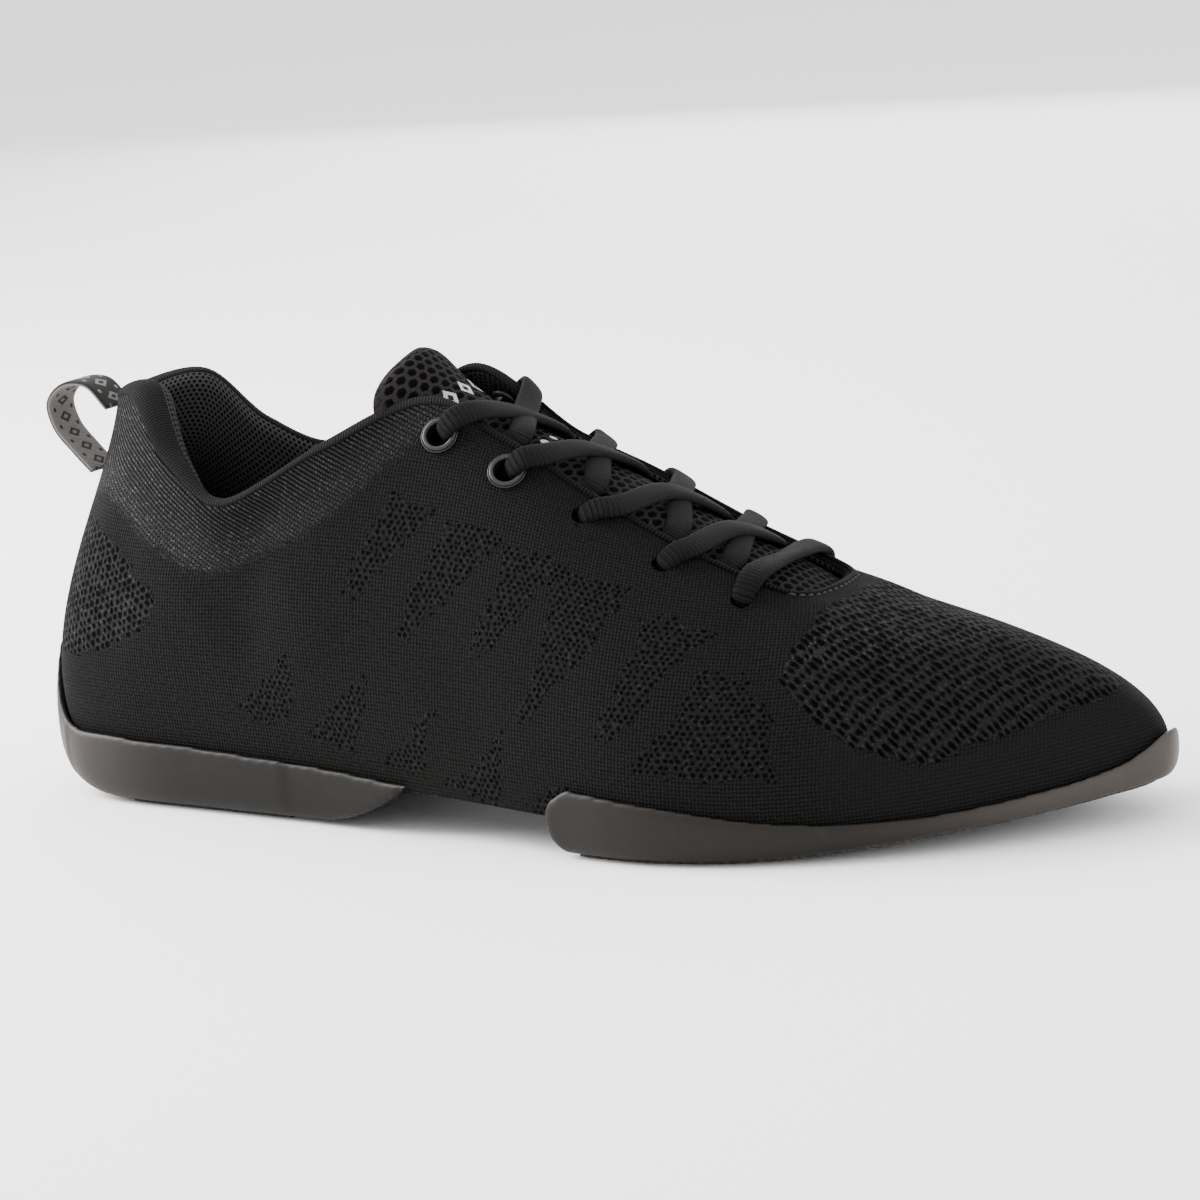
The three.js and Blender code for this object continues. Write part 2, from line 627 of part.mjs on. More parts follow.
// One cross-section of the tongue: a bent slab, thin at its edges.
function tongueRing(place) {
  const half = column(TONGUE, "half", place) * BALL_WIDTH;
  const crown = column(TONGUE, "crown", place);
  const tip = THREE.MathUtils.degToRad(column(TONGUE, "tip", place));
  const square = vec(Math.sin(tip), 0, Math.cos(tip));
  const at = (share, depth) => {
    const point = tongueCentre(place).add(vec(0, share * half, 0));
    return point.addScaledVector(square, -crown * half * share ** 2 - depth);
  };
  const edge = (share) => TONGUE_THICKNESS * TONGUE_EDGE * share ** 4;
  const steps = Array.from({ length: TONGUE_SIDE_POINTS + 1 }, (_, k) => k / TONGUE_SIDE_POINTS);
  const shares = steps.map((step) => 2 * step - 1);
  const top = shares.map((s) => at(s, edge(s)));
  const bottom = shares.map((s) => at(s, TONGUE_THICKNESS - edge(s))).reverse();
  return [...top, ...bottom];
}

function makeTongue() {
  const steps = 2 * (TONGUE.length - 1);
  const rings = Array.from({ length: steps + 1 }, (_, k) => tongueRing(k / 2));
  return largestBody(solidFromRings(rings).subtract(upperShell(TONGUE_GAP)));
}

// Laces

// A flat lace along points, each with the direction that its broad face looks to.
function laceStrap(stops) {
  const curve = (points) => new THREE.CatmullRomCurve3(points, false, "centripetal");
  const path = curve(stops.map((s) => s.point));
  const faces = curve(stops.map((s) => s.face));
  const rings = Array.from({ length: LACE_STEPS + 1 }, (_, k) => {
    const along = path.getTangent(k / LACE_STEPS);
    const face = faces.getPoint(k / LACE_STEPS);
    const wide = along.clone().cross(face).normalize();
    const thick = wide.clone().cross(along).normalize();
    const middle = path.getPoint(k / LACE_STEPS);
    return Array.from({ length: LACE_CORNERS }, (_, c) => {
      const turn = (2 * Math.PI * c) / LACE_CORNERS;
      return middle
        .clone()
        .addScaledVector(wide, (Math.cos(turn) * LACE_WIDTH) / 2)
        .addScaledVector(thick, (Math.sin(turn) * LACE_THICKNESS) / 2);
    });
  });
  return solidFromRings(rings);
}

// Height of the tongue's top surface on its centre line, at a distance x from the heel.
function tongueTop(x) {
  let best = tongueCentre(0);
  for (let place = 0; place <= TONGUE.length - 1; place += 0.02) {
    const point = tongueCentre(place);
    if (Math.abs(point.x - x) < Math.abs(best.x - x)) best = point;
  }
  return best.z;
}

function edgeStop(x, side, lift, inside) {
  const { point, normal } = onLast(throatPlace(x), side, 1);
  const moved = point.addScaledVector(normal, lift);
  moved.y -= side * inside;
  return { point: moved, face: normal };
}

function holeStop(hole, lift) {
  return { point: hole.point.clone().addScaledVector(hole.normal, lift), face: hole.normal.clone() };
}

// A strap from a hole on one side to the edge of the throat on the other. It rises by a layer in
// the middle, where two straps cross.
function crossing(from, x, layer) {
  const lift = LACE_THICKNESS / 2 + LACE_LIFT;
  const rim = hasEyelet(from) ? EYELET_SEAT + EYELET_SHEET : 0;
  const start = holeStop(from, lift + LACE_RISE + rim);
  const nearX = from.point.x + (x - from.point.x) * 0.35;
  const near = edgeStop(nearX, from.side, lift + 0.2 + rim * 0.4, 0);
  const far = edgeStop(x, -from.side, lift - LACE_TUCK, LACE_WIDTH * 0.85);
  const middle = near.point.clone().lerp(far.point, 0.5);
  middle.z = Math.max(tongueTop(middle.x), middle.z - lift) + lift + CLEARANCE + layer;
  const face = near.face.clone().add(far.face).normalize();
  return laceStrap([start, near, { point: middle, face }, far]);
}

function makeLaces(holes) {
  const find = (name, row) => holes.find((h) => h.name === name && h.row === row);
  const laces = {};
  const lift = LACE_THICKNESS / 2 + LACE_LIFT;
  const ends = [find("lateral", 1), find("medial", 1)];
  const [a, b] = ends.map((hole) => edgeStop(hole.point.x, hole.side, lift + 1, 0));
  const middle = a.point.clone().lerp(b.point, 0.5);
  middle.z = Math.max(middle.z + 1, tongueTop(middle.x) + lift + 2 * CLEARANCE);
  const [c, d] = ends.map((hole) => holeStop(hole, lift + 0.2));
  laces.lace_bar = laceStrap([c, a, { point: middle, face: UP.clone() }, b, d]);
  for (let row = 2; row <= HOLE_ROWS.length; row++) {
    const clearOfBar = row === 2 ? 1.2 * LACE_WIDTH : LACE_STEP;
    const below = find("lateral", row - 1).point.x - clearOfBar;
    const under = crossing(find("medial", row), below, 0);
    const over = crossing(find("lateral", row), below, LACE_LAYER);
    laces[`lace_cross_${row - 1}`] = under.add(over);
  }
  return laces;
}

// Eyelets: a pressed ring with a flange on each face of the wall.
function makeEyelet(hole) {
  const barrel = EYELET_HOLE + EYELET_SHEET;
  const back = EYELET_FLANGE - EYELET_SHEET / 2;
  const top = EYELET_SEAT;
  const bottom = -WALL - EYELET_BACK_SEAT;
  const profile = [
    [EYELET_HOLE, bottom - EYELET_SHEET],
    [back, bottom - EYELET_SHEET],
    [back, bottom],
    [barrel, bottom],
    [barrel, top],
    [EYELET_FLANGE, top],
    [EYELET_FLANGE - EYELET_SHEET / 2, top + EYELET_SHEET],
    [EYELET_HOLE + EYELET_SHEET / 2, top + EYELET_SHEET],
    [EYELET_HOLE, top],
    [EYELET_HOLE, bottom - EYELET_SHEET],
  ].map(([r, h]) => new THREE.Vector2(r, h));
  const ring = new THREE.LatheGeometry(profile, RING_SIDES);
  return solidFromGeometry(placedOn(ring, hole.point, hole.normal));
}

// Pull loop: a tape folded back on itself, sewn to the back of the collar.
function makePullLoop() {
  const side = SIDES.lateral;
  const drop = LOOP_DROP / 2;
  const upperHalf = lastPoint(0, side, LOOP_TOP).z - lastPoint(0, side, 0.5).z;
  const seat = LOOP_TAPE / 2 + CLEARANCE;
  const [a, b] = [LOOP_TOP, LOOP_TOP - drop / upperHalf].map((climb) => {
    const { point, normal } = onLast(0, side, climb);
    return point.addScaledVector(normal, seat);
  });
  const back = vec(-1, 0, LOOP_LEAN).normalize();
  const up = vec(LOOP_LEAN, 0, 1).normalize();
  const bend = LOOP_PATH.map((row) => {
    const point = a.clone().addScaledVector(back, LOOP_REACH * row.back);
    return point.addScaledVector(up, LOOP_DROP * row.up);
  });
  const path = new THREE.CatmullRomCurve3([a, ...bend, b]);
  const corners = [[-1, -1], [1, -1], [1, 1], [-1, 1]];
  const rings = Array.from({ length: LOOP_STEPS + 1 }, (_, k) => {
    const along = path.getTangent(k / LOOP_STEPS);
    const thick = vec(-along.z, 0, along.x).normalize();
    return corners.map(([w, t]) => {
      const point = path.getPoint(k / LOOP_STEPS).add(vec(0, (w * LOOP_WIDTH) / 2, 0));
      return point.addScaledVector(thick, (t * LOOP_TAPE) / 2);
    });
  });
  return solidFromRings(rings);
}

// Assembly

const MATERIALS = {
  knit: { color: 0x1d1c1b, roughness: 0.9, metalness: 0 },
  moulded: { color: 0x4b4743, roughness: 0.55, metalness: 0 },
  tread: { color: 0x151515, roughness: 0.8, metalness: 0 },
  mesh: { color: 0x1b1818, roughness: 0.9, metalness: 0 },
  foam: { color: 0x141414, roughness: 0.95, metalness: 0 },
  lace: { color: 0x222222, roughness: 0.85, metalness: 0 },
  metal: { color: 0x3c3c3d, roughness: 0.4, metalness: 0.8 },
  tape: { color: 0x8f8a84, roughness: 0.85, metalness: 0 },
};

const shoe = new THREE.Group();

function add(name, solid, material) {
  const finish = new THREE.MeshStandardMaterial(MATERIALS[material]);
  const mesh = new THREE.Mesh(geometryFromSolid(solid), finish);
  mesh.name = name;
  shoe.add(mesh);
}

const holes = laceHoles();
add("upper", makeUpper(holes), "knit");
const soles = makeSoles();
for (const [name, solid] of Object.entries(soles)) add(name, solid, "moulded");
for (const [name, solid] of Object.entries(makeTreads(soles))) add(name, solid, "tread");
add("insole", makeInsole(), "foam");
add("tongue", makeTongue(), "mesh");
for (const [name, solid] of Object.entries(makeLaces(holes))) add(name, solid, "lace");
for (const hole of holes.filter(hasEyelet)) {
  add(`eyelet_${hole.name}_${hole.row}`, makeEyelet(hole), "metal");
}
add("pull_loop", makePullLoop(), "tape");

// The origin is the middle of the shoe's box, on the floor.
const box = new THREE.Box3().setFromObject(shoe);
const centre = box.getCenter(new THREE.Vector3());
shoe.position.set(-centre.x, -centre.y, -box.min.z);
shoe.updateMatrixWorld(true);

export default shoe;
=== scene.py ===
# %% [markdown]
# # A low knit dance sneaker with a split sole
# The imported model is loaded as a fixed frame. Its solids are the shoe's true shape with few
# faces. Here each piece is drawn again from the same few sizes with a fine mesh, so that it
# carries knit, mesh, ribs, foam and metal that hold up close to the camera.

# %% Load the fixed frame
import math

import bpy
import numpy as np
from mathutils import Matrix, Vector


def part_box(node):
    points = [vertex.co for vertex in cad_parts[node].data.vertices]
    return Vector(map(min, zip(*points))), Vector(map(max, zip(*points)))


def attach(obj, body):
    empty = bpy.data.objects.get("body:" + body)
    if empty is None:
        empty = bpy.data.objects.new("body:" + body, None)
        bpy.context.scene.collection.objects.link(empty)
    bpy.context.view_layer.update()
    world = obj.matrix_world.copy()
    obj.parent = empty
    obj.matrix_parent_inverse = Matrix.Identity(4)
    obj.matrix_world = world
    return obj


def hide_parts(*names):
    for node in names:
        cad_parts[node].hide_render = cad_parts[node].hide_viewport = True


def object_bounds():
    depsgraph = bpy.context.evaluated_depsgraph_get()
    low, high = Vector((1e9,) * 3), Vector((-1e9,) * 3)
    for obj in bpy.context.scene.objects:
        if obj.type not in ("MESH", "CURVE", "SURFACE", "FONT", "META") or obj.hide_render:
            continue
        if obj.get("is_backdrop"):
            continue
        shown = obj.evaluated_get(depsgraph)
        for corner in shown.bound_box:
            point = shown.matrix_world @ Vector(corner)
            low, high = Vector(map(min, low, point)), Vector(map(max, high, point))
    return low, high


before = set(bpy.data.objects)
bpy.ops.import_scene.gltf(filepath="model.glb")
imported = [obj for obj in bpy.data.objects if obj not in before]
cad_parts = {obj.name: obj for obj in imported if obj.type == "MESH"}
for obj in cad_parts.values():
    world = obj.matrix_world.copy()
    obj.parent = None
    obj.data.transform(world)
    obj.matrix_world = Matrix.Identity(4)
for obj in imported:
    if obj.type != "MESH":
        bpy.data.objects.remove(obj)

CAD_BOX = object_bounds()
print("CAD nodes:", ", ".join(sorted(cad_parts)))

# %% [markdown]
# ## The last
# A shoe is made on a last, the solid foot form. The source of the CAD model describes it by two
# short tables: the edge of the foot bed, and the edge of the opening. Every section of the last
# is one curve from the first edge to the second. Sharing those tables keeps the fine meshes in
# the place of the solids. Millimetres are used until a mesh is made.

# %% Sizes of the shoe, in millimetres
MM = 0.001
LAST_LENGTH = 280
BALL_WIDTH = 96
COLLAR_HEIGHT = 98
SEAT_HEIGHT = 13
RIM_HEIGHT = 40
WALL = 2.2
COLLAR_PAD = 7.5
COLLAR_PAD_START = 0.38  # share of the wall's height where the collar foam begins
BINDING = 1.3
TOE_SPRING = 9
SPRING_START = 0.69
HEEL_BEVEL = 5
HEEL_BEVEL_LENGTH = 18
LATERAL = -1
MEDIAL = 1

FOOT_BED = {
    "foot": [-0.006, 0.011, 0.071, 0.171, 0.3, 0.421, 0.529, 0.629, 0.729, 0.821, 0.9, 0.95, 0.973],
    "outer": [0, 0.14, 0.215, 0.263, 0.323, 0.4, 0.469, 0.51, 0.443, 0.305, 0.12, -0.05, -0.17],
    "inner": [0, 0.14, 0.22, 0.268, 0.268, 0.258, 0.297, 0.375, 0.43, 0.447, 0.412, 0.32, 0.17],
    "lift": [1, 1, 1, 0.96, 0.88, 0.8, 0.7, 0.56, 0.44, 0.38, 0.36, 0.36, 0.36],
    "rim": [1, 0.49, 0.425, 0.4, 0.355, 0.31, 0.41, 0.35, 0.245, 0.225, 0.285, 0.375, 0.52],
}
OPENING = {
    "at": [0.056, 0.102, 0.148, 0.209, 0.3, 0.386, 0.464, 0.536, 0.621, 0.69, 0.71, 0.715, 0.717],
    "outer": [0, 0.16, 0.255, 0.3, 0.25, 0.15, 0.155, 0.16, 0.16, 0.148, 0.1, 0.03, -0.035],
    "inner": [0, 0.16, 0.25, 0.29, 0.245, 0.155, 0.16, 0.17, 0.18, 0.18, 0.155, 0.098, 0.035],
    "rise": [0.975, 0.995, 0.837, 0.742, 0.885, 0.99, 0.905, 0.785, 0.66, 0.576, 0.553, 0.548, 0.548],
    "more": [0, 0, 0.02, 0.045, 0.01, 0.035, -0.025, 0, 0, 0, 0, 0, 0],
    "out": [0.11, 0.1, 0.08, 0.06, 0.06, 0.06, 0.05, 0.045, 0.045, 0.05, 0.055, 0.06, 0.06],
    "up": [0.33, 0.33, 0.3, 0.26, 0.26, 0.26, 0.25, 0.24, 0.23, 0.21, 0.195, 0.195, 0.195],
    "slope": [76, 80, 82, 82, 68, 54, 45, 38, 32, 26, 19, 17, 16],
    "reach": [0.3, 0.3, 0.3, 0.3, 0.33, 0.38, 0.38, 0.38, 0.4, 0.42, 0.43, 0.43, 0.43],
    "pad": [1, 1, 0.8, 0.25, 0, 0, 0, 0, 0, 0, 0, 0, 0],
    "tape": [1, 1, 1, 1, 1, 0.8, 0, 0, 0, 0, 0, 0, 0],
}
LAST_ROW = len(FOOT_BED["foot"]) - 1
UP = np.array([0.0, 0.0, 1.0])


# %% The curve through a table's column
def column(table, name, place):
    values = np.array(table[name], float)
    mirrored = name in ("outer", "inner")
    before = -values[1] if mirrored else values[1]
    after = 2 * values[-1] - values[-2] if mirrored else values[-2]
    rows = np.concatenate([[before], values, [after]])
    row = np.clip(np.floor(place).astype(int), 0, len(values) - 2)
    f = place - row
    p, q, r, s = (rows[row + k] for k in range(4))
    return q + 0.5 * f * (r - p + f * (2 * p - 5 * q + 4 * r - s + f * (3 * (q - r) + s - p)))


def unit(vectors):
    return vectors / np.maximum(np.linalg.norm(vectors, axis=-1, keepdims=True), 1e-12)


def smoothstep(value, low, high):
    share = np.clip((value - low) / (high - low), 0, 1)
    return share * share * (3 - 2 * share)


print("a width of the foot bed half way:", round(float(column(FOOT_BED, "outer", np.array(6.0))), 3))


# %% Points of the last
def spring(x):
    toe = np.maximum(0, (x / LAST_LENGTH - SPRING_START) / (1 - SPRING_START))
    heel = np.maximum(0, 1 - x / HEEL_BEVEL_LENGTH)
    return TOE_SPRING * toe**1.4 + HEEL_BEVEL * heel**2


def feather(place, side):
    x = column(FOOT_BED, "foot", place) * LAST_LENGTH
    half = np.where(side < 0, column(FOOT_BED, "outer", place), column(FOOT_BED, "inner", place))
    z = column(FOOT_BED, "lift", place) * SEAT_HEIGHT + spring(np.maximum(x, HEEL_BEVEL_LENGTH))
    return np.stack([x, side * half * BALL_WIDTH, z], -1)


def outward(place, side):
    def beside(near):
        wrapped = (near < 0) | (near > LAST_ROW)
        inside = np.where(near < 0, -near, np.where(near > LAST_ROW, 2 * LAST_ROW - near, near))
        return feather(inside, np.where(wrapped, -side, side))

    along = beside(place + 0.05) - beside(place - 0.05)
    return unit(np.stack([-side * along[..., 1], side * along[..., 0], 0 * place], -1))


def last_point(place, side, climb):
    place, side, climb = np.broadcast_arrays(np.asarray(place, float), side, climb)
    foot = feather(place, side)
    half = np.where(side < 0, column(OPENING, "outer", place), column(OPENING, "inner", place))
    rise = column(OPENING, "rise", place) + np.where(side < 0, 0, column(OPENING, "more", place))
    at = column(OPENING, "at", place) * LAST_LENGTH
    edge = np.stack([at, side * half * BALL_WIDTH, rise * COLLAR_HEIGHT], -1)
    reach = (np.linalg.norm(foot - edge, axis=-1) * column(OPENING, "reach", place))[..., None]
    slope = np.radians(column(OPENING, "slope", place))[..., None]
    fall = (foot - edge) * [1, 1, 0]
    out = outward(place, side)
    plan = np.where(np.linalg.norm(fall, axis=-1, keepdims=True) < 1, out, unit(fall))
    leave = out * column(OPENING, "out", place)[..., None] * BALL_WIDTH
    leave = leave + UP * column(OPENING, "up", place)[..., None] * COLLAR_HEIGHT
    arrive = plan * np.cos(slope) * reach - UP * np.sin(slope) * reach
    t = climb[..., None]
    low = (1 - t) ** 3 * foot + 3 * t * (1 - t) ** 2 * (foot + leave)
    return low + 3 * t * t * (1 - t) * (edge + arrive) + t**3 * edge


def on_last(place, side, climb):
    step = 0.02
    up = last_point(place, side, min(1, climb + step)) - last_point(place, side, climb - step)
    ahead = last_point(min(place + step, LAST_ROW), side, climb)
    behind = last_point(max(place - step, 0), side, climb)
    return last_point(place, side, climb), unit(np.cross(up, ahead - behind) * side)


# %% Where the last stands in the frame
def round_columns(steps):
    """Columns once round the shoe: heel, outer side, toe, inner side."""
    half = LAST_ROW * steps
    k = np.arange(2 * half)
    return np.where(k <= half, k, 2 * half - k) / steps, np.where(k <= half, LATERAL, MEDIAL)


coarse = last_point(*round_columns(3), np.linspace(0, 1, 13)[:, None])
cad_low, cad_high = (np.array(corner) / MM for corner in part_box("upper"))
SHIFT = np.array([
    cad_high[0] - coarse[..., 0].max(),
    (cad_high[1] + cad_low[1] - coarse[..., 1].max() - coarse[..., 1].min()) / 2,
    0,
])
print("the last's origin in the frame, mm:", SHIFT.round(2))

# %% [markdown]
# ## Camera
# The photograph looks down a little on the outer side, from in front, with a long lens. The
# camera keeps that angle and its slight roll. It is aimed at a point inside the shoe, and its
# lens is given for a square image.

# %% Camera
AIM = np.array([142.0, 0.0, 49.0])
AZIMUTH, ELEVATION, ROLL = (math.radians(a) for a in (28, 11, -4))
DISTANCE = 1100
SENSOR = 36
FOCAL_PIXELS, IMAGE_PIXELS = 4760, 1200  # the lens, as seen in a square image of this width
LENS = SENSOR * FOCAL_PIXELS / IMAGE_PIXELS

back = Vector((
    math.sin(AZIMUTH) * math.cos(ELEVATION),
    -math.cos(AZIMUTH) * math.cos(ELEVATION),
    math.sin(ELEVATION),
))
level = Vector((math.cos(AZIMUTH), math.sin(AZIMUTH), 0))
upright = back.cross(level)
across = math.cos(ROLL) * level + math.sin(ROLL) * upright
above = back.cross(across)
camera_data = bpy.data.cameras.new("camera")
camera_data.sensor_width = SENSOR
camera_data.lens = LENS
camera_data.clip_start = 0.05
camera_data.clip_end = 20
camera = bpy.data.objects.new("camera", camera_data)
bpy.context.scene.collection.objects.link(camera)
facing = Matrix((across, above, back)).transposed().to_4x4()
camera.matrix_world = Matrix.Translation(Vector((AIM + SHIFT) * MM) + back * DISTANCE * MM) @ facing
bpy.context.scene.camera = camera
print("camera lens", round(LENS, 1), "mm")

# %% [markdown]
# ## Materials as expressions
# A material is a small sum over noises, waves and the numbers that a mesh keeps on its points.
# Field lets such a sum be written as plain maths, and Paint makes every other node with one method.


# %% Shader maths as expressions
class Field:
    """An output socket of a material, so that maths on it can be written as an expression."""

    def __init__(self, paint, socket):
        self.paint = paint
        self.socket = socket

    def maths(self, operation, *others):
        made = self.paint.node("Math", {"operation": operation}, dict(enumerate((self, *others))))
        return made.out()

    def __add__(self, other):
        return self.maths("ADD", other)

    __radd__ = __add__

    def __mul__(self, other):
        return self.maths("MULTIPLY", other)

    __rmul__ = __mul__

    def __sub__(self, other):
        return self.maths("SUBTRACT", other)

    def __rsub__(self, other):
        return (self * -1) + other

    def __truediv__(self, other):
        return self.maths("DIVIDE", other)

    def __pow__(self, other):
        return self.maths("POWER", other)

    def sine(self):
        return self.maths("SINE")

    def wave(self):
        """A wave from 0 to 1 that repeats once for each unit."""
        return (self * math.tau).sine() * 0.5 + 0.5

    def fraction(self):
        return self.maths("FRACT")

    def floor(self):
        return self.maths("FLOOR")

    def size(self):
        return self.maths("ABSOLUTE")

    def most(self, other):
        return self.maths("MAXIMUM", other)

    def least(self, other):
        return self.maths("MINIMUM", other)

    def between(self, low, high):
        """A soft step from 0 at low to 1 at high."""
        settings = {"interpolation_type": "SMOOTHSTEP"}
        sockets = {"Value": self, "From Min": low, "From Max": high}
        return self.paint.node("MapRange", settings, sockets).out()

    def toward(self, other, share):
        return self + (share * (other - self) if isinstance(share, Field) else (other - self) * share)


class Made:
    """A node that was just made, with its outputs by name."""

    def __init__(self, paint, node):
        self.paint = paint
        self.node = node

    def out(self, name=None):
        sockets = self.node.outputs
        if name is not None:
            return Field(self.paint, sockets[name])
        return Field(self.paint, next(s for s in sockets if s.enabled))


class Paint:
    """A material and its nodes."""

    def __init__(self, name):
        self.material = bpy.data.materials.new(name)
        self.material.use_nodes = True
        self.tree = self.material.node_tree
        self.tree.nodes.clear()

    def node(self, kind, settings=None, sockets=None):
        made = self.tree.nodes.new("ShaderNode" + kind)
        for key, value in (settings or {}).items():
            setattr(made, key, value)
        for key, value in (sockets or {}).items():
            self.feed(made.inputs[key], value)
        return Made(self, made)

    def feed(self, socket, value):
        if isinstance(value, Field):
            self.tree.links.new(value.socket, socket)
        elif isinstance(value, (tuple, list)) and len(value) == 3 and socket.type == "RGBA":
            socket.default_value = (*value, 1)
        else:
            socket.default_value = value

    def place(self):
        """Where a point lies in the object, in metres."""
        return self.node("TexCoord").out("Object")

    def attribute(self, name):
        """The three numbers of a mesh attribute as fields, and the vector."""
        vector = self.node("Attribute", {"attribute_name": name}).out("Vector")
        return vector, *self.split(vector)

    def split(self, vector):
        parts = self.node("SeparateXYZ", None, {0: vector})
        return parts.out("X"), parts.out("Y"), parts.out("Z")

    def join(self, x, y, z=0.0):
        return self.node("CombineXYZ", None, {"X": x, "Y": y, "Z": z}).out()

    def noise(self, vector, scale, detail=2.0, rough=0.5):
        sockets = {"Vector": vector, "Scale": scale, "Detail": detail, "Roughness": rough}
        return self.node("TexNoise", None, sockets).out("Fac")

    def blend(self, share, first, second):
        """A colour between two, by a share from 0 to 1."""
        sockets = {"Factor": share, 6: first, 7: second}
        return Field(self, self.node("Mix", {"data_type": "RGBA"}, sockets).node.outputs[2])

    def bump(self, height, depth, strength=1.0):
        """A normal from a height between 0 and 1, with its depth in millimetres."""
        sockets = {"Strength": strength, "Distance": depth * MM, "Height": height}
        return self.node("Bump", None, sockets).out()

    def finish(self, colour, rough, normal=None, **constants):
        """Ends the material in one surface shader. Constants are set on its own sockets."""
        sockets = {"Base Color": colour, "Roughness": rough}
        sockets.update({name.replace("_", " "): value for name, value in constants.items()})
        if normal is not None:
            sockets["Normal"] = normal
        surface = self.node("BsdfPrincipled", None, sockets)
        self.node("OutputMaterial", None, {"Surface": surface.out("BSDF")})
        return self.material


print("shader helpers ready")

# %% [markdown]
# ## Floor and light
# A plain pale floor that runs out of sight under a bright even sky, as in a product photograph. The
# main light is broad and stands at the heel's end. A weak one hangs overhead, a small one fills the
# toe, and one behind keeps the inner side from going black.

# %% Floor
FLOOR_HALF = 4.0
floor_mesh = bpy.data.meshes.new("floor")
corners = [(-1, -1), (1, -1), (1, 1), (-1, 1)]
floor_mesh.from_pydata([(x * FLOOR_HALF, y * FLOOR_HALF, 0) for x, y in corners], [], [(0, 1, 2, 3)])
floor = bpy.data.objects.new("floor", floor_mesh)
bpy.context.scene.collection.objects.link(floor)
floor_paint = Paint("pale_floor")
floor_mesh.materials.append(floor_paint.finish((0.9, 0.9, 0.9), 0.8))
floor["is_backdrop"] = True


# %% Lights
def soft_light(name, azimuth, elevation, distance, size, power):
    """A square area light that looks at the shoe. Azimuth 0 is the outer side, 90 the toe."""
    data = bpy.data.lights.new(name, "AREA")
    data.shape = "SQUARE"
    data.size = size
    data.energy = power
    light = bpy.data.objects.new(name, data)
    bpy.context.scene.collection.objects.link(light)
    a, e = math.radians(azimuth), math.radians(elevation)
    away = Vector((math.sin(a) * math.cos(e), -math.cos(a) * math.cos(e), math.sin(e)))
    light.location = away * distance + Vector((0, 0, 0.05))
    light.rotation_mode = "QUATERNION"
    light.rotation_quaternion = away.to_track_quat("Z", "Y")


soft_light("overhead", 0, 85, 1.2, 1.6, 5)
soft_light("key_left", -80, 30, 1.15, 0.8, 52)
soft_light("fill_toe", 98, 14, 1.5, 1.0, 13)
soft_light("fill_back", 195, 22, 1.6, 1.2, 14)
SKY_STRENGTH = 1.9
world = bpy.data.worlds.new("studio")
world.use_nodes = True
world.node_tree.nodes["Background"].inputs["Color"].default_value = (1, 1, 1, 1)
world.node_tree.nodes["Background"].inputs["Strength"].default_value = SKY_STRENGTH
bpy.context.scene.world = world

# %% [markdown]
# ## Meshes from grids and sweeps
# Almost every piece of a shoe is a sheet that was bent or a strip that was pulled along a line.
# Two helpers cover them. One turns a grid of points into a mesh, the other sweeps an outline
# along a path. Both keep numbers on the points, in millimetres of cloth, for the weave to follow.


# %% Mesh helpers
def make_piece(name, points, faces, material, slot=None, stands_for=(), **attributes):
    mesh = bpy.data.meshes.new(name)
    mesh.from_pydata(((points + SHIFT) * MM).tolist(), [], faces)
    mesh.polygons.foreach_set("use_smooth", [True] * len(mesh.polygons))
    for key, values in attributes.items():
        made = mesh.attributes.new(key, "FLOAT_VECTOR", "POINT")
        made.data.foreach_set("vector", np.asarray(values, np.float32).reshape(-1))
    mesh.materials.append(material)
    piece = bpy.data.objects.new(name, mesh)
    bpy.context.scene.collection.objects.link(piece)
    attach(piece, "root")
    if stands_for:
        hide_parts(*stands_for)
    print(f"{name}: {len(mesh.polygons)} faces")
    return piece


def grid_faces(rows, columns, closed):
    index = np.arange(rows * columns).reshape(rows, columns)
    a = index[:-1]
    b = index[1:]
    if not closed:
        quads = np.stack([a[:, :-1], a[:, 1:], b[:, 1:], b[:, :-1]], -1)
    else:
        quads = np.stack([a, np.roll(a, -1, 1), np.roll(b, -1, 1), b], -1)
    return quads.reshape(-1, 4)


def smooth_path(stops, count):
    """A smooth curve through the stops, as points at even distances."""
    stops = np.array(stops, float)
    chord = np.concatenate([[0], np.cumsum(np.linalg.norm(np.diff(stops, axis=0), axis=1) ** 0.6)])
    slopes = np.gradient(stops, chord, axis=0)
    t = np.linspace(0, chord[-1], 40 * len(stops))
    k = np.clip(np.searchsorted(chord, t, "right") - 1, 0, len(stops) - 2)
    span = (chord[k + 1] - chord[k])[:, None]
    u = ((t - chord[k]) / span[:, 0])[:, None]
    curve = (2 * u**3 - 3 * u**2 + 1) * stops[k] + (u**3 - 2 * u**2 + u) * span * slopes[k]
    curve += (3 * u**2 - 2 * u**3) * stops[k + 1] + (u**3 - u**2) * span * slopes[k + 1]
    return even(curve, count)


def running(curve):
    """The distance along a curve at each of its points."""
    return np.concatenate([[0], np.cumsum(np.linalg.norm(np.diff(curve, axis=0), axis=1))])


def even(curve, count):
    run = running(curve)
    steps = np.linspace(0, run[-1], count)
    return np.stack([np.interp(steps, run, curve[:, axis]) for axis in range(3)], -1)


def resample(values, count):
    """The same run of values at another number of even steps."""
    old, new = np.linspace(0, 1, len(values)), np.linspace(0, 1, count)
    return np.stack([np.interp(new, old, values[:, axis]) for axis in range(3)], -1)


def path_length(path):
    return float(running(path)[-1])


def oval(corners, power):
    """An outline from an ellipse (power 2) to a rounded box (power 5), within -1 to 1."""
    turn = np.arange(corners) * math.tau / corners
    c, s = np.cos(turn), np.sin(turn)
    return np.stack([np.sign(c) * np.abs(c) ** (2 / power), np.sign(s) * np.abs(s) ** (2 / power)], -1)


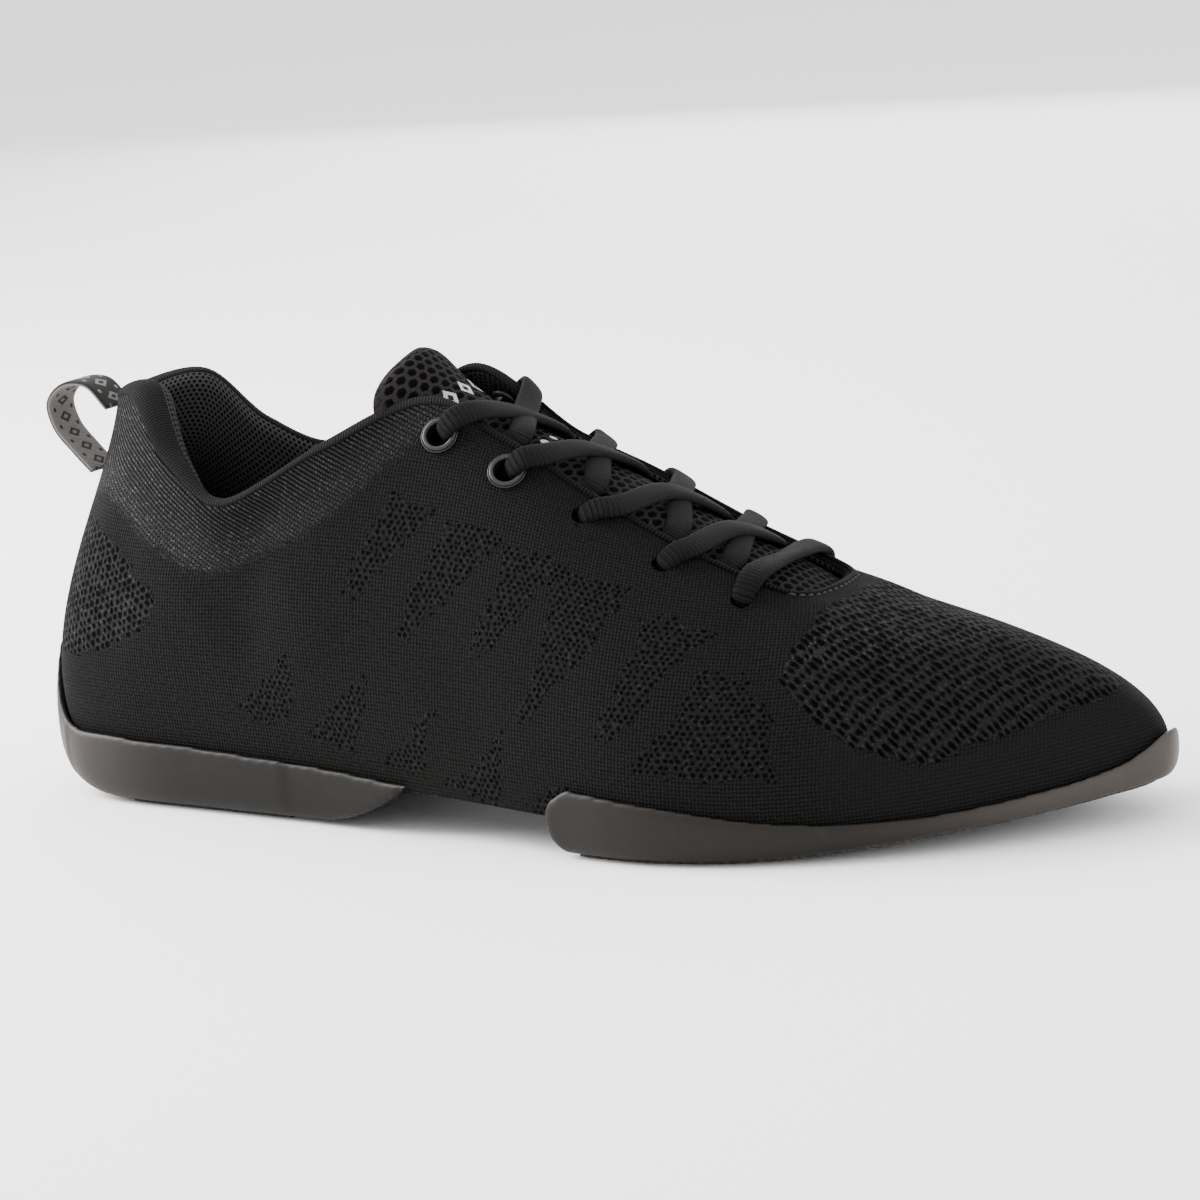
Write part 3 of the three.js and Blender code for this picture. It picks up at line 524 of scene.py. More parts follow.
def sweep(path, face, width, thickness, outline):
    """Rings along a path, broad side towards face, and for each point (run, across, out) in mm."""
    along = unit(np.gradient(path, axis=0))
    wide = unit(np.cross(along, face))
    thick = np.cross(wide, along)
    width = np.broadcast_to(width, len(path))[:, None, None]
    thickness = np.broadcast_to(thickness, len(path))[:, None, None]
    across_part = outline[None, :, :1] * width / 2
    out_part = outline[None, :, 1:] * thickness / 2
    rings = path[:, None] + wide[:, None] * across_part + thick[:, None] * out_part
    run = np.broadcast_to(running(path)[:, None, None], across_part.shape)
    return rings, np.concatenate([run, across_part, out_part], -1)


def capped_faces(rows, columns):
    faces = grid_faces(rows, columns, True).tolist()
    first = list(range(columns))[::-1]
    last = [(rows - 1) * columns + i for i in range(columns)]
    return [*faces, first, last]


def tube_piece(name, path, face, width, thickness, outline, material, **options):
    rings, run = sweep(path, face, width, thickness, outline)
    faces = capped_faces(len(path), len(outline))
    return make_piece(name, rings.reshape(-1, 3), faces, material, run=run, **options)


def joined(sweeps):
    """Several closed sweeps as one mesh: its points, faces and runs."""
    points, faces, runs = [], [], []
    count = 0
    for rings, run in sweeps:
        faces += [[v + count for v in face] for face in capped_faces(*rings.shape[:2])]
        points.append(rings.reshape(-1, 3))
        runs.append(run.reshape(-1, 3))
        count += len(points[-1])
    return np.concatenate(points), faces, np.concatenate(runs)


print("mesh helpers ready")

# %% [markdown]
# ## The upper's sheet
# The knit is one sheet, drawn over the last from the foot bed to the opening. Its mesh has a
# point every millimetre or so. For each point the sheet keeps how far it lies along the shoe,
# how far up from the foot bed and how far down from the opening's edge.

# %% The sheet
COLUMN_STEPS = 20
CLIMB_ROWS = 140
column_place, column_side = round_columns(COLUMN_STEPS)
COLUMNS = len(column_place)
TOE_COLUMN = COLUMNS // 2
climbs = np.linspace(0, 1, CLIMB_ROWS)
sheet = last_point(column_place, column_side, climbs[:, None])


def ring_normals(surface):
    along = np.roll(surface, -1, 1) - np.roll(surface, 1, 1)
    return unit(np.cross(along, np.gradient(surface, axis=0)))


def ring_run(surface):
    """Distance from the heel along each row, on each side, up to the toe."""
    step = np.linalg.norm(np.roll(surface, -1, 1) - surface, axis=-1)
    outer = np.concatenate([0 * step[:, :1], np.cumsum(step, 1)[:, :-1]], 1)
    whole = np.sum(step, 1, keepdims=True)
    inner = whole - outer
    return np.where(column_side < 0, outer, inner)


def from_segment(x, y, start, end):
    """Distance from a straight line between two points of a side view."""
    (ax, ay), (bx, by) = start, end
    ex, ey = bx - ax, by - ay
    share = np.clip(((x - ax) * ex + (y - ay) * ey) / (ex * ex + ey * ey), 0, 1)
    return np.hypot(x - ax - share * ex, y - ay - share * ey)


CREASES = [  # ends in the side view, half width and depth in mm; below 0 is a trough
    ((44, 67), (64, 44), 5.5, -0.7), ((58, 68), (84, 48), 7.0, 0.45), ((27, 68), (22, 42), 6.0, -0.4),
    ((118, 52), (130, 26), 8.0, -0.5), ((192, 50), (212, 26), 5.0, -0.6),
    ((203, 48), (222, 30), 6.0, 0.45), ((214, 46), (232, 30), 5.0, -0.45),
]
sheet_normals = ring_normals(sheet)
for start, end, half_width, depth in CREASES:
    away = from_segment(sheet[..., 0], sheet[..., 2], start, end)
    sheet = sheet + sheet_normals * (depth * np.exp(-(away / half_width) ** 2))[..., None]
sheet_normals = ring_normals(sheet)
rise_steps = np.linalg.norm(np.diff(sheet, axis=0), axis=-1)
sheet_up = np.concatenate([np.zeros((1, COLUMNS)), np.cumsum(rise_steps, 0)])
sheet_down = sheet_up[-1] - sheet_up
print("the sheet:", sheet.shape[:2], "points,", round(float(sheet_up[-1].max())), "mm high at most")

# %% [markdown]
# A knitted row keeps its pitch all round. The distance along each row is measured from one upright
# line at mid foot on each side, so that the wales stand upright where the camera looks. Heel and
# toe take up what is left.

# %% Distance along the cloth
MID_COLUMN = 115  # an upright column at mid foot, on the outer side
run = ring_run(sheet)
outer_mid = sheet[:, MID_COLUMN, 0][:, None] - run[:, MID_COLUMN][:, None]
inner_mid = sheet[:, -MID_COLUMN, 0][:, None] - run[:, -MID_COLUMN][:, None]
sheet_along = run + np.where(column_side < 0, outer_mid, inner_mid)
near_toe = smoothstep(column_place, 8.5, LAST_ROW)
near_heel = 1 - smoothstep(column_place, 0, 2)
toe_middle = (sheet_along[:, TOE_COLUMN - 1] + sheet_along[:, TOE_COLUMN + 1])[:, None] / 2
heel_middle = (sheet_along[:, 1] + sheet_along[:, -1])[:, None] / 2
toe_gap = np.where(column_side < 0, sheet_along[:, TOE_COLUMN - 1][:, None],
                   sheet_along[:, TOE_COLUMN + 1][:, None]) - toe_middle
heel_gap = np.where(column_side < 0, sheet_along[:, 1][:, None],
                    sheet_along[:, -1][:, None]) - heel_middle
sheet_along = sheet_along - near_toe * toe_gap - near_heel * heel_gap
print("along the cloth, mm:", sheet_along.min().round(), "to", sheet_along.max().round())

# %% [markdown]
# ## Zones of open mesh
# The knit opens into mesh at the heel, in tapering wedges down the flank, in small triangles over
# the sole and over the toes. Each zone is an outline in the side view, in millimetres from the
# heel and above the floor. Every point of the sheet gets its distance inside the nearest outline.

# %% Outlines of the mesh zones
HEEL_ZONE = [(-12, 72), (8, 70), (22, 65), (38, 51), (36, 47), (26, 41), (14, 37), (-12, 35)]
WEDGES = [
    [(104, 77.5), (115.5, 74.5), (109.5, 68.5), (102.5, 61.5), (95.5, 55), (93.5, 55), (95, 61.5),
     (99, 68.5)],
    [(119.5, 72.5), (134.5, 69.5), (128, 63), (119.5, 54.5), (111.5, 47), (108, 47), (110.5, 54.5),
     (116, 63)],
    [(135, 67), (151, 63.5), (144.5, 58.5), (140, 51.5), (132, 44.5), (129, 44.5), (131, 51),
     (135, 58.5)],
    [(147.5, 62.5), (166.5, 58), (163.5, 54), (159.5, 46), (151.5, 38.5), (145, 31), (142, 31),
     (145.5, 38), (148, 45), (149, 54)],
    [(171, 53.5), (186.5, 48.5), (181.5, 45.5), (176, 38), (171.5, 31), (165, 26.5), (163, 27),
     (168, 37.5), (170.5, 46)],
    [(186, 42), (194, 40.5), (201.5, 33), (204, 26), (204.5, 19), (172, 21), (177, 26.5), (183, 34)],
]
SOLE_TRIANGLES = [
    [(76, 41.5), (78, 32.5), (73, 24.5), (67, 23.5), (59, 27), (67, 32)],
    [(99, 38), (99, 33.5), (93, 18), (81, 21.5), (90.5, 31.5)],
    [(118.5, 31), (113.5, 14), (101.5, 18), (110, 23)],
    [(138, 27), (136, 10), (120, 13.5), (131, 19)],
    [(156, 17.5), (150, 8.5), (143, 11)],
]


def inside(outline, x, y):
    """Signed distance from an outline's edge, above 0 inside it."""
    corners = np.array(outline, float)
    nearest = np.full(x.shape, 1e9)
    crossed = np.zeros(x.shape, bool)
    for (ax, ay), (bx, by) in zip(corners, np.roll(corners, -1, 0)):
        nearest = np.minimum(nearest, from_segment(x, y, (ax, ay), (bx, by)))
        if by != ay:
            crossed ^= ((ay > y) != (by > y)) & (x < (bx - ax) * (y - ay) / (by - ay) + ax)
    return np.where(crossed, nearest, -nearest)


heel_inside = inside(HEEL_ZONE, sheet[..., 0], sheet[..., 2])
side_inside = np.max([inside(z, sheet[..., 0], sheet[..., 2]) for z in WEDGES + SOLE_TRIANGLES], 0)
TOE_ZONE = {"place": [8.15, 8.4, 8.7, 9.15, 9.7, 10.85, 12], "above": [50, 28, 19, 13, 15, 19, 21],
            "below": [44, 31, 22, 12, 8, 6, 6]}
toe_low = sheet_up - np.interp(column_place, TOE_ZONE["place"], TOE_ZONE["above"])
toe_high = sheet_down - np.interp(column_place, TOE_ZONE["place"], TOE_ZONE["below"])
toe_inside = np.where(column_place > 8, np.minimum(toe_low, toe_high), -20)
zone_depth = np.max([heel_inside, side_inside, toe_inside], 0)
print("points inside a mesh zone:", int((zone_depth > 0).sum()))

# %% [markdown]
# ## Lace holes
# Five holes on each side follow the edge of the throat. The outer face and the lining are both
# punched: the faces near a hole are left out, and triangles join that ragged gap to a round rim.

# %% Lace holes
HOLE_ROWS = [(0.675, 0.13), (0.608, 0.12), (0.536, 0.099), (0.469, 0.099), (0.405, 0.083)]
EYELET_ROWS = 2
HOLE_RADIUS = 2.4
EYELET_HOLE = 3.0
EYELET_SHEET = 0.7
EYELET_PLAY = 0.4
RIM_POINTS = 40
HALVINGS = 24  # steps of a search along the throat


def beside_throat(x, inset, side):
    """The point of the last at a distance x from the heel, inset from the edge of the throat."""
    low, high = 4.0, float(LAST_ROW)
    for _ in range(HALVINGS):
        place = (low + high) / 2
        edge = last_point(place, side, 1)
        climb = 1 - inset * 0.25 / np.linalg.norm(last_point(place, side, 0.75) - edge)
        point, normal = on_last(place, side, climb)
        if point[0] > x:
            high = place
        else:
            low = place
    return {"place": place, "climb": climb, "side": side, "point": point, "normal": normal}


holes = []
for side in (LATERAL, MEDIAL):
    for row, (at, inset) in enumerate(HOLE_ROWS, 1):
        hole = beside_throat(at * LAST_LENGTH, inset * BALL_WIDTH, side)
        hole["row"] = row
        hole["eyelet"] = row > len(HOLE_ROWS) - EYELET_ROWS
        hole["radius"] = EYELET_HOLE + EYELET_SHEET + EYELET_PLAY if hole["eyelet"] else HOLE_RADIUS
        holes.append(hole)
print("lace holes:", len(holes))


def hole_ways(hole):
    """Two directions across a hole, level and upward."""
    side_way = unit(np.cross(hole["normal"], UP))
    return side_way, np.cross(side_way, hole["normal"])


# %% Punching holes in a sheet
def border_loop(faces):
    """The outer edge of a patch of faces, as numbers of points in order."""
    edges = dict.fromkeys((a, b) for face in faces for a, b in zip(face, np.roll(face, -1)))
    border = {a: b for a, b in edges if (b, a) not in edges}
    loop = [next(iter(border))]
    while border[loop[-1]] != loop[0]:
        loop.append(border[loop[-1]])
    return loop


def punch(surface, extras, reach, depth=0.0):
    """A ring grid with round holes: its points, faces and extras, and the rim of each hole."""
    rows, columns = surface.shape[:2]
    faces = grid_faces(rows, columns, True)
    points = surface.reshape(-1, 3)
    added, added_extras, rims = [], [[] for _ in extras], []
    count = len(points)
    centres = points[faces].mean(1)
    keep = np.ones(len(faces), bool)
    more = []
    for hole in holes:
        radius = hole["radius"]
        middle = hole["point"]
        offset = centres - middle
        height = offset @ hole["normal"]
        flat = np.linalg.norm(offset - height[:, None] * hole["normal"], axis=1)
        gone = (flat < radius + reach) & (np.abs(height) < 12) & keep
        keep &= ~gone
        loop = border_loop(faces[gone])
        side_way, up_way = hole_ways(hole)
        rim = points[loop] - middle
        angles = np.arctan2(rim @ up_way, rim @ side_way)
        direction = 1 if np.sum(np.sin(np.diff(angles))) > 0 else -1
        first = np.abs(angles).argmin()
        loop = loop[first:] + loop[:first]
        angles, rim = np.roll(angles, -first), np.roll(rim, -first, 0)
        ring_angles = direction * np.arange(RIM_POINTS) * math.tau / RIM_POINTS
        near = np.abs(np.angle(np.exp(1j * (ring_angles[:, None] - angles[None]))))
        level = rim @ hole["normal"]
        picks = near.argsort(1)[:, :2]
        weights = 1 / (np.take_along_axis(near, picks, 1) + 0.01)
        weights /= weights.sum(1, keepdims=True)
        sag = (radius / np.linalg.norm(rim, axis=1).mean()) ** 2
        heights = ((level[picks] * weights).sum(1) + depth) * sag - depth
        ring = middle + radius * (np.cos(ring_angles)[:, None] * side_way
                                  + np.sin(ring_angles)[:, None] * up_way)
        ring = ring + heights[:, None] * hole["normal"]
        added.append(ring)
        rims.append(ring if direction > 0 else np.roll(ring[::-1], 1, 0))
        known, wanted = (np.stack([part @ side_way, part @ up_way, np.ones(len(part))], -1)
                         for part in (rim, ring - middle))
        for store, extra in zip(added_extras, extras):
            fitted = np.linalg.lstsq(known, extra.reshape(-1, 3)[loop], rcond=None)[0]
            store.append(wanted @ fitted)
        more.extend(zip_loops(loop, angles, count, ring_angles, direction))
        count += RIM_POINTS
    all_points = np.concatenate([points, *added])
    all_extras = [np.concatenate([e.reshape(-1, 3), *s]) for e, s in zip(extras, added_extras)]
    return all_points, faces[keep].tolist() + more, all_extras, rims


def zip_loops(loop, angles, first, ring_angles, direction):
    """Triangles between a ragged loop and a round one that turn the same way."""
    outer = np.unwrap(angles * direction)
    outer = np.maximum.accumulate(outer - outer[0])
    inner = (ring_angles - ring_angles[0]) * direction
    n, m = len(loop), len(ring_angles)
    i = j = 0
    faces = []
    while i < n or j < m:
        next_outer = outer[i + 1] if i + 1 < n else math.tau
        next_inner = inner[j + 1] if j + 1 < m else math.tau
        if i < n and (j >= m or next_outer <= next_inner):
            faces.append([loop[i % n], loop[(i + 1) % n], first + j % m])
            i += 1
        else:
            faces.append([loop[i % n], first + (j + 1) % m, first + j % m])
            j += 1
    return faces


print("punch ready")

# %% [markdown]
# ## Knit
# The yarn is black with a warm cast. Plain knit has upright columns of small V stitches. The
# collar has slanting ribs with silvery flecks, and the mesh zones have dark holes between
# knots of yarn. All of it is height and colour in one material, driven by the distances that the
# sheet keeps. The colour also holds painted light and shade: painted light toward the heel,
# painted shade in stitch valleys, rib lines and mesh holes, and painted glints on the knots.

# %% Knit material: plain stitches and ribs
WALE = 0.86  # width of a column of stitches, mm
COURSE = 0.92
TOE_COURSE = 0.95
RIB_BEAD = 0.95  # a stitch along a rib

knit = Paint("black_knit")
_, along_mm, up_mm, rib_phase = knit.attribute("cloth")
_, cell_u, cell_v, hole_size = knit.attribute("cells")
_, mesh_inside, rib_inside, toe_share = knit.attribute("zones")
place_3d = knit.place()
x_place, _, _ = knit.split(place_3d)
wander = knit.noise(place_3d, 700.0, 1.0)
soft_cloud = knit.noise(place_3d, 28.0, 3.0)
fuzz = knit.noise(place_3d, 2600.0, 2.0)

wale = along_mm / WALE + wander * 0.25
leg = (wale.fraction() - 0.5).size()
stitch = (up_mm / COURSE + leg * 0.9).wave()
wale_ridge = 1 - leg * 2
grain = knit.noise(knit.join(wale, up_mm / COURSE), 1.0, 0.0).between(0.3, 0.7)
plain = (wale_ridge * 0.34 + stitch * 0.36 + grain * 0.12 + fuzz * 0.3).between(0.16, 0.92)

toe_lines = (up_mm / TOE_COURSE + wander * 0.5).wave() * 0.4 + fuzz * 0.3 + wale_ridge * 0.12 + 0.1
plain = plain.toward(toe_lines, toe_share * 0.8)

rib_at = rib_phase + (wander - 0.5) * 0.3
from_line = (rib_at.fraction() - 0.5).size() * 2
rib_beads = (along_mm / RIB_BEAD + rib_at.floor() * 0.5).wave()
dashes = rib_beads.toward(1.0, rib_inside.between(3.0, 13.0))
rib_line = from_line.between(0.46, 0.80) * dashes
ribs = 1 - rib_line * 0.95 - rib_beads * 0.2
rib_mask = (rib_inside + (wander - 0.5) * 7.0).between(-1.5, 2.5)

# %% Knit material: mesh
drift = knit.noise(place_3d, 330.0, 1.0)
row_v = cell_v + (wander - 0.5) * 0.45
cell_row = row_v.floor()
column_u = cell_u + (drift - 0.5) * 0.9 + cell_row * 0.5
cell_id = knit.join(column_u.floor(), cell_row)
chance = knit.node("TexWhiteNoise", {"noise_dimensions": "2D"}, {"Vector": cell_id})
cell_chance, chance_x, chance_y = knit.split(chance.out("Color"))
loose = 0.34 - hole_size.between(0.25, 0.3) * 0.2
cell_x = column_u.fraction() - 0.5 + (chance_x - 0.5) * loose
cell_y = row_v.fraction() - 0.5 + (chance_y - 0.5) * loose
from_hole = ((cell_x * cell_x * 1.5 + cell_y * cell_y) ** 0.5) + (fuzz - 0.5) * 0.34
this_hole = (hole_size + 0.06) * (cell_chance * 0.7 + 0.6)
hole = 1 - from_hole.between(this_hole * 0.35, this_hole * 1.3)
lump = from_hole.between(0.2, 0.55)
twist = (cell_u * 3.0 + cell_y.size() * 3.0).wave()
mesh_mask = (mesh_inside + (cell_chance - 0.5) * 2.2).between(-0.15, 0.15)
mesh_height = (1 - hole) * (0.45 + lump * 0.4 + twist * 0.15)

# %% Knit material: height and colour
body = plain.toward(ribs, rib_mask)
height = body.toward(mesh_height * 1.9 - 0.4, mesh_mask) + fuzz * 0.12
yarn = knit.blend(soft_cloud, (0.0036, 0.0034, 0.0034), (0.0050, 0.0047, 0.0047))
# Painted light and shade: the knit is painted lighter toward the heel, and its stitch valleys are painted
# near black as shade.
body_painted_light = knit.blend(x_place.between(-0.10, -0.02), (0.0138, 0.0131, 0.0131), (0.0116, 0.0110, 0.0110))
painted_stitch_light_shade = knit.blend(body, (0.0009, 0.0009, 0.0009), body_painted_light)
base = knit.blend(0.8, yarn, painted_stitch_light_shade)
# An olive tint low on the flank over the arch, with painted shade in its stitch valleys.
arch = x_place.between(-0.08, -0.05) * (1 - x_place.between(0.0, 0.03)) * (1 - up_mm.between(3.0, 30.0))
arch_colour = knit.blend(plain, (0.0012, 0.0012, 0.0011), (0.0118, 0.0119, 0.0102))
base = knit.blend(arch * 0.5, base, arch_colour)
# Painted light on the ribs toward the heel, and painted shade in the dark rib lines.
rib_painted_light = knit.blend(x_place.between(-0.13, -0.03), (0.0163, 0.0157, 0.0157), (0.0120, 0.0115, 0.0115))
rib_colour = knit.blend(ribs, (0.0004, 0.0004, 0.0004), rib_painted_light)
base = knit.blend(rib_mask, base, rib_colour)
flecks = knit.noise(place_3d, 1500.0, 0.0).between(0.58, 0.72) * rib_mask * ribs
fleck_share = 0.3 + (1 - x_place.between(-0.11, -0.05)) * 0.35
base = knit.blend(flecks * fleck_share, base, (0.055, 0.0535, 0.052))
# Painted light on the knots of the heel zone; the side zones are darker. Painted shade darkens each knot
# toward its hole.
at_heel = hole_size.between(0.36, 0.39)
knot_painted_light = knit.blend(at_heel, (0.0112, 0.0107, 0.0106), (0.0150, 0.0143, 0.0142))
knot_painted_light = knit.blend(hole_size.between(0.25, 0.3), (0.0090, 0.0086, 0.0085), knot_painted_light)
knot_colour = knit.blend(lump * 0.6 + twist * 0.2 + grain * 0.2, (0.0008, 0.0008, 0.0008), knot_painted_light)
# The holes are painted near black, as painted shade.
mesh_colour = knit.blend(hole, knot_colour, (0.0001, 0.0001, 0.0001))
# Small painted glints on the tops of the knots, more of them in the heel zone.
painted_glint = knit.noise(place_3d, 1500.0, 0.0).between(0.62, 0.70) * lump * (1 - hole)
mesh_colour = knit.blend(painted_glint * (at_heel * 0.35 + 0.2), mesh_colour, (0.040, 0.039, 0.038))
base = knit.blend(mesh_mask, base, mesh_colour)
rough = 0.82 + hole * mesh_mask * 0.12
KNIT = knit.finish(base, rough, knit.bump(height, 0.42), Specular_IOR_Level=0.03)
print("knit material:", len(knit.tree.nodes), "nodes")

# %% [markdown]
# ## Upper
# The wall is one closed form: the outer face, the rolled edge of the opening and the inner face.
# Round the ankle the wall is thick with foam. The outer face and the edge are this piece. The
# inner face is a second piece, because it has another cloth.


# %% Wall and edge
def wall_thickness(place, climb):
    pad = COLLAR_PAD * np.maximum(0, column(OPENING, "pad", place))
    return WALL + pad * smoothstep(climb, COLLAR_PAD_START, 0.9)


LIP_STEPS = 12
edge_half = (wall_thickness(column_place, 1) / 2)[:, None]
edge_middle = sheet[-1] - sheet_normals[-1] * edge_half
edge_beyond = unit(sheet[-1] - sheet[-6])
bead = (BINDING * np.maximum(0, column(OPENING, "tape", column_place)))[:, None]
turns = np.pi * np.arange(1, LIP_STEPS) / LIP_STEPS
lip = np.stack([
    edge_middle + sheet_normals[-1] * edge_half * np.cos(t)
    + edge_beyond * (np.minimum(edge_half, WALL) + bead) * np.sin(t)
    for t in turns
])
outer_face = np.concatenate([sheet, lip])
lip_run = np.cumsum(np.linalg.norm(np.diff(np.concatenate([sheet[-1:], lip]), axis=0), axis=-1), 0)
print("the edge is", round(float(2 * edge_half.max()), 1), "mm thick at the heel")

# %% Cloth coordinates of the outer face
cloth_along = np.concatenate([sheet_along, np.repeat(sheet_along[-1:], len(lip), 0)])
cloth_up = np.concatenate([sheet_up, sheet_up[-1] + lip_run])
cloth_down = np.concatenate([sheet_down, -lip_run])

# The ribs lean steeply at the back of the heel, and lie flatter and closer toward the eyestay.
RIB_PITCH = {"x": [20, 42, 62, 90], "mm": [1.5, 1.35, 1.1, 1.0]}
RIB_LEAN = {"x": [-5, 5, 20, 45, 90, 130], "rise": [1.7, 1.43, 1.05, 0.65, 0.45, 0.4]}
lean_at = np.arange(-20, 300.0)
edge_x, edge_z = sheet[-1, :TOE_COLUMN, 0], sheet[-1, :TOE_COLUMN, 2]
edge_height = np.interp(lean_at, edge_x, edge_z)
rib_pitch = np.interp(lean_at, RIB_PITCH["x"], RIB_PITCH["mm"])
rib_rise = np.interp(lean_at, RIB_LEAN["x"], RIB_LEAN["rise"])
rib_sum = np.cumsum((rib_rise + np.gradient(edge_height)) / rib_pitch)
at_x = outer_face[..., 0]
below_edge = outer_face[..., 2] - np.interp(at_x, lean_at, edge_height)
cloth_rib = below_edge / np.interp(at_x, lean_at, rib_pitch) + np.interp(at_x, lean_at, rib_sum)
cloth = np.stack([cloth_along, cloth_up, cloth_rib], -1)

RIB_BAND = {"place": [0, 1.2, 2.2, 3, 3.9, 4.5, 5.0, 5.6], "depth": [27, 24, 17, 13.5, 18, 14, 8, -6]}
rib_depth = np.interp(column_place, RIB_BAND["place"], RIB_BAND["depth"])
rib_inside = rib_depth - cloth_down

HEEL_CELL, SIDE_CELL, TOE_CELL = (2.0, 1.9), (1.75, 1.35), (2.75, 1.85)  # mesh, width and height
HEEL_HOLE, SIDE_HOLE = 0.4, 0.24  # shares of a cell
ZONE_MARGIN = 4
OFF_ZONE = -20.0
PLAIN_ZONES = [OFF_ZONE, OFF_ZONE, 0.0]  # no open mesh, no ribs, no toe
lip_fill = np.full(lip.shape[:2], OFF_ZONE)
toe_share = smoothstep(sheet_along, 205, 235) * (1 - smoothstep(toe_inside, -3, 0))
heel_u = (sheet_along * 0.92 + sheet_up * 0.38) / HEEL_CELL[0]
heel_v = (sheet_up * 0.92 - sheet_along * 0.38) / HEEL_CELL[1]
ridge_z = np.interp(sheet[..., 0], sheet[::-1, TOE_COLUMN, 0], sheet[::-1, TOE_COLUMN, 2])
ridge_y = np.interp(sheet[..., 0], sheet[::-1, TOE_COLUMN, 0], sheet[::-1, TOE_COLUMN, 1])
off_ridge = np.tanh((sheet[..., 1] - ridge_y) / 6)
toe_across = 0.82 * sheet[..., 1] - 0.78 * (sheet[..., 2] - ridge_z) * off_ridge
toe_u = (sheet[..., 0] + 0.35 * toe_across) / TOE_CELL[0]
toe_v = toe_across / TOE_CELL[1]
toe_hole = 0.3 + 0.13 * smoothstep(sheet[..., 2], 32, 50)


def by_zone(toe, heel, side):
    """One of three values at each point, by the mesh zone that it lies in or near."""
    near_heel = np.where(heel_inside > -ZONE_MARGIN, heel, side)
    return np.where(toe_inside > -ZONE_MARGIN, toe, near_heel)


def with_lip(values, fill):
    return np.concatenate([values, fill])


cells_u = by_zone(toe_u, heel_u, sheet_along / SIDE_CELL[0])
cells_v = by_zone(toe_v, heel_v, sheet_up / SIDE_CELL[1])
hole_size = by_zone(toe_hole, HEEL_HOLE, SIDE_HOLE)
cells = np.stack([with_lip(values, lip_fill) for values in (cells_u, cells_v, hole_size)], -1)
zones = np.stack([with_lip(zone_depth, lip_fill), rib_inside, with_lip(toe_share, lip_fill * 0)], -1)

# %% Upper piece
EDGE_TOP = CLIMB_ROWS + LIP_STEPS // 2 - 1  # the row on top of the rolled edge
points, faces, (cloth_points, cell_points, zone_points), outer_rims = punch(
    outer_face[:EDGE_TOP + 1], [part[:EDGE_TOP + 1] for part in (cloth, cells, zones)], 0.9)
make_piece("upper_knit", points, faces, KNIT, "upper_knit", ["upper"],
           cloth=cloth_points, cells=cell_points, zones=zone_points)

# %% [markdown]
# ## Lining
# Inside the shoe the knit is backed by a dark honeycomb mesh over the collar foam. It is the
# inner face of the same wall, so it is worked out from the same sheet, moved in by the wall's
# thickness.


# %% Lining material
def honeycomb_paint(name, dark, light, pitch, attribute="cloth"):
    """Small staggered holes in a smooth knitted backing."""
    paint = Paint(name)
    _, u, v, _ = paint.attribute(attribute)
    row = v / (pitch * 0.82)
    stagger = row.floor() * 0.5
    x = ((u / pitch + stagger).fraction() - 0.5) * 1.25
    y = row.fraction() - 0.5
    away = (x * x + y * y) ** 0.5
    hole = 1 - away.between(0.2, 0.42)
    cloud = paint.noise(paint.place(), 60.0, 3.0)
    # The holes are painted near black, as painted shade.
    base = paint.blend(hole, paint.blend(cloud, dark, light), (0.0003, 0.0003, 0.0003))
    return paint.finish(base, 0.9, paint.bump(1 - hole, 0.35), Specular_IOR_Level=0.03)


LINING = honeycomb_paint("lining_mesh", (0.0225, 0.0210, 0.0210), (0.0320, 0.0298, 0.0298), 1.35)

# %% Lining piece
LINING_ROWS = 46
inner_climbs = np.linspace(1, 0, LINING_ROWS)[:, None]
inner_sheet = last_point(column_place, column_side, inner_climbs)
inner_normals = -ring_normals(inner_sheet)
inner_face = inner_sheet - inner_normals * wall_thickness(column_place, inner_climbs)[..., None]
inner_face[-1, :, 2] = sheet[0, :, 2] + WALL
lining_face = np.concatenate([outer_face[EDGE_TOP:], inner_face])
lining_down = np.cumsum(np.linalg.norm(np.diff(lining_face, axis=0), axis=-1), 0)
lining_down = np.concatenate([np.zeros((1, COLUMNS)), lining_down])
lining_along = np.broadcast_to(sheet_along[-1] * 0.9, lining_down.shape)
inner_cloth = np.stack([lining_along, lining_down, 0 * lining_down], -1)
points, faces, (inner_points,), inner_rims = punch(lining_face, [inner_cloth], 0.9, WALL)
make_piece("upper_lining", points, faces, LINING, "upper_knit", cloth=inner_points)

# %% Walls of the punched holes
WALL_LEVELS = 5
rings, faces = [], []
for outer_rim, inner_rim in zip(outer_rims, inner_rims):
    faces += (grid_faces(WALL_LEVELS, RIM_POINTS, True) + len(rings) * RIM_POINTS).tolist()
    rings += [outer_rim + (inner_rim - outer_rim) * share for share in np.linspace(1, 0, WALL_LEVELS)]
rings = np.concatenate(rings)
flat_cloth = np.stack([rings[:, 0], rings[:, 2], rings[:, 1]], -1)
make_piece("hole_edges", rings, faces, KNIT, "upper_knit", cloth=flat_cloth,
           cells=flat_cloth * 0, zones=np.tile(PLAIN_ZONES, (len(rings), 1)))

# %% [markdown]
# ## Under the arch
# Between the two sole units the knit runs on under the foot. It is a flat sheet from one feather
# line to the other.

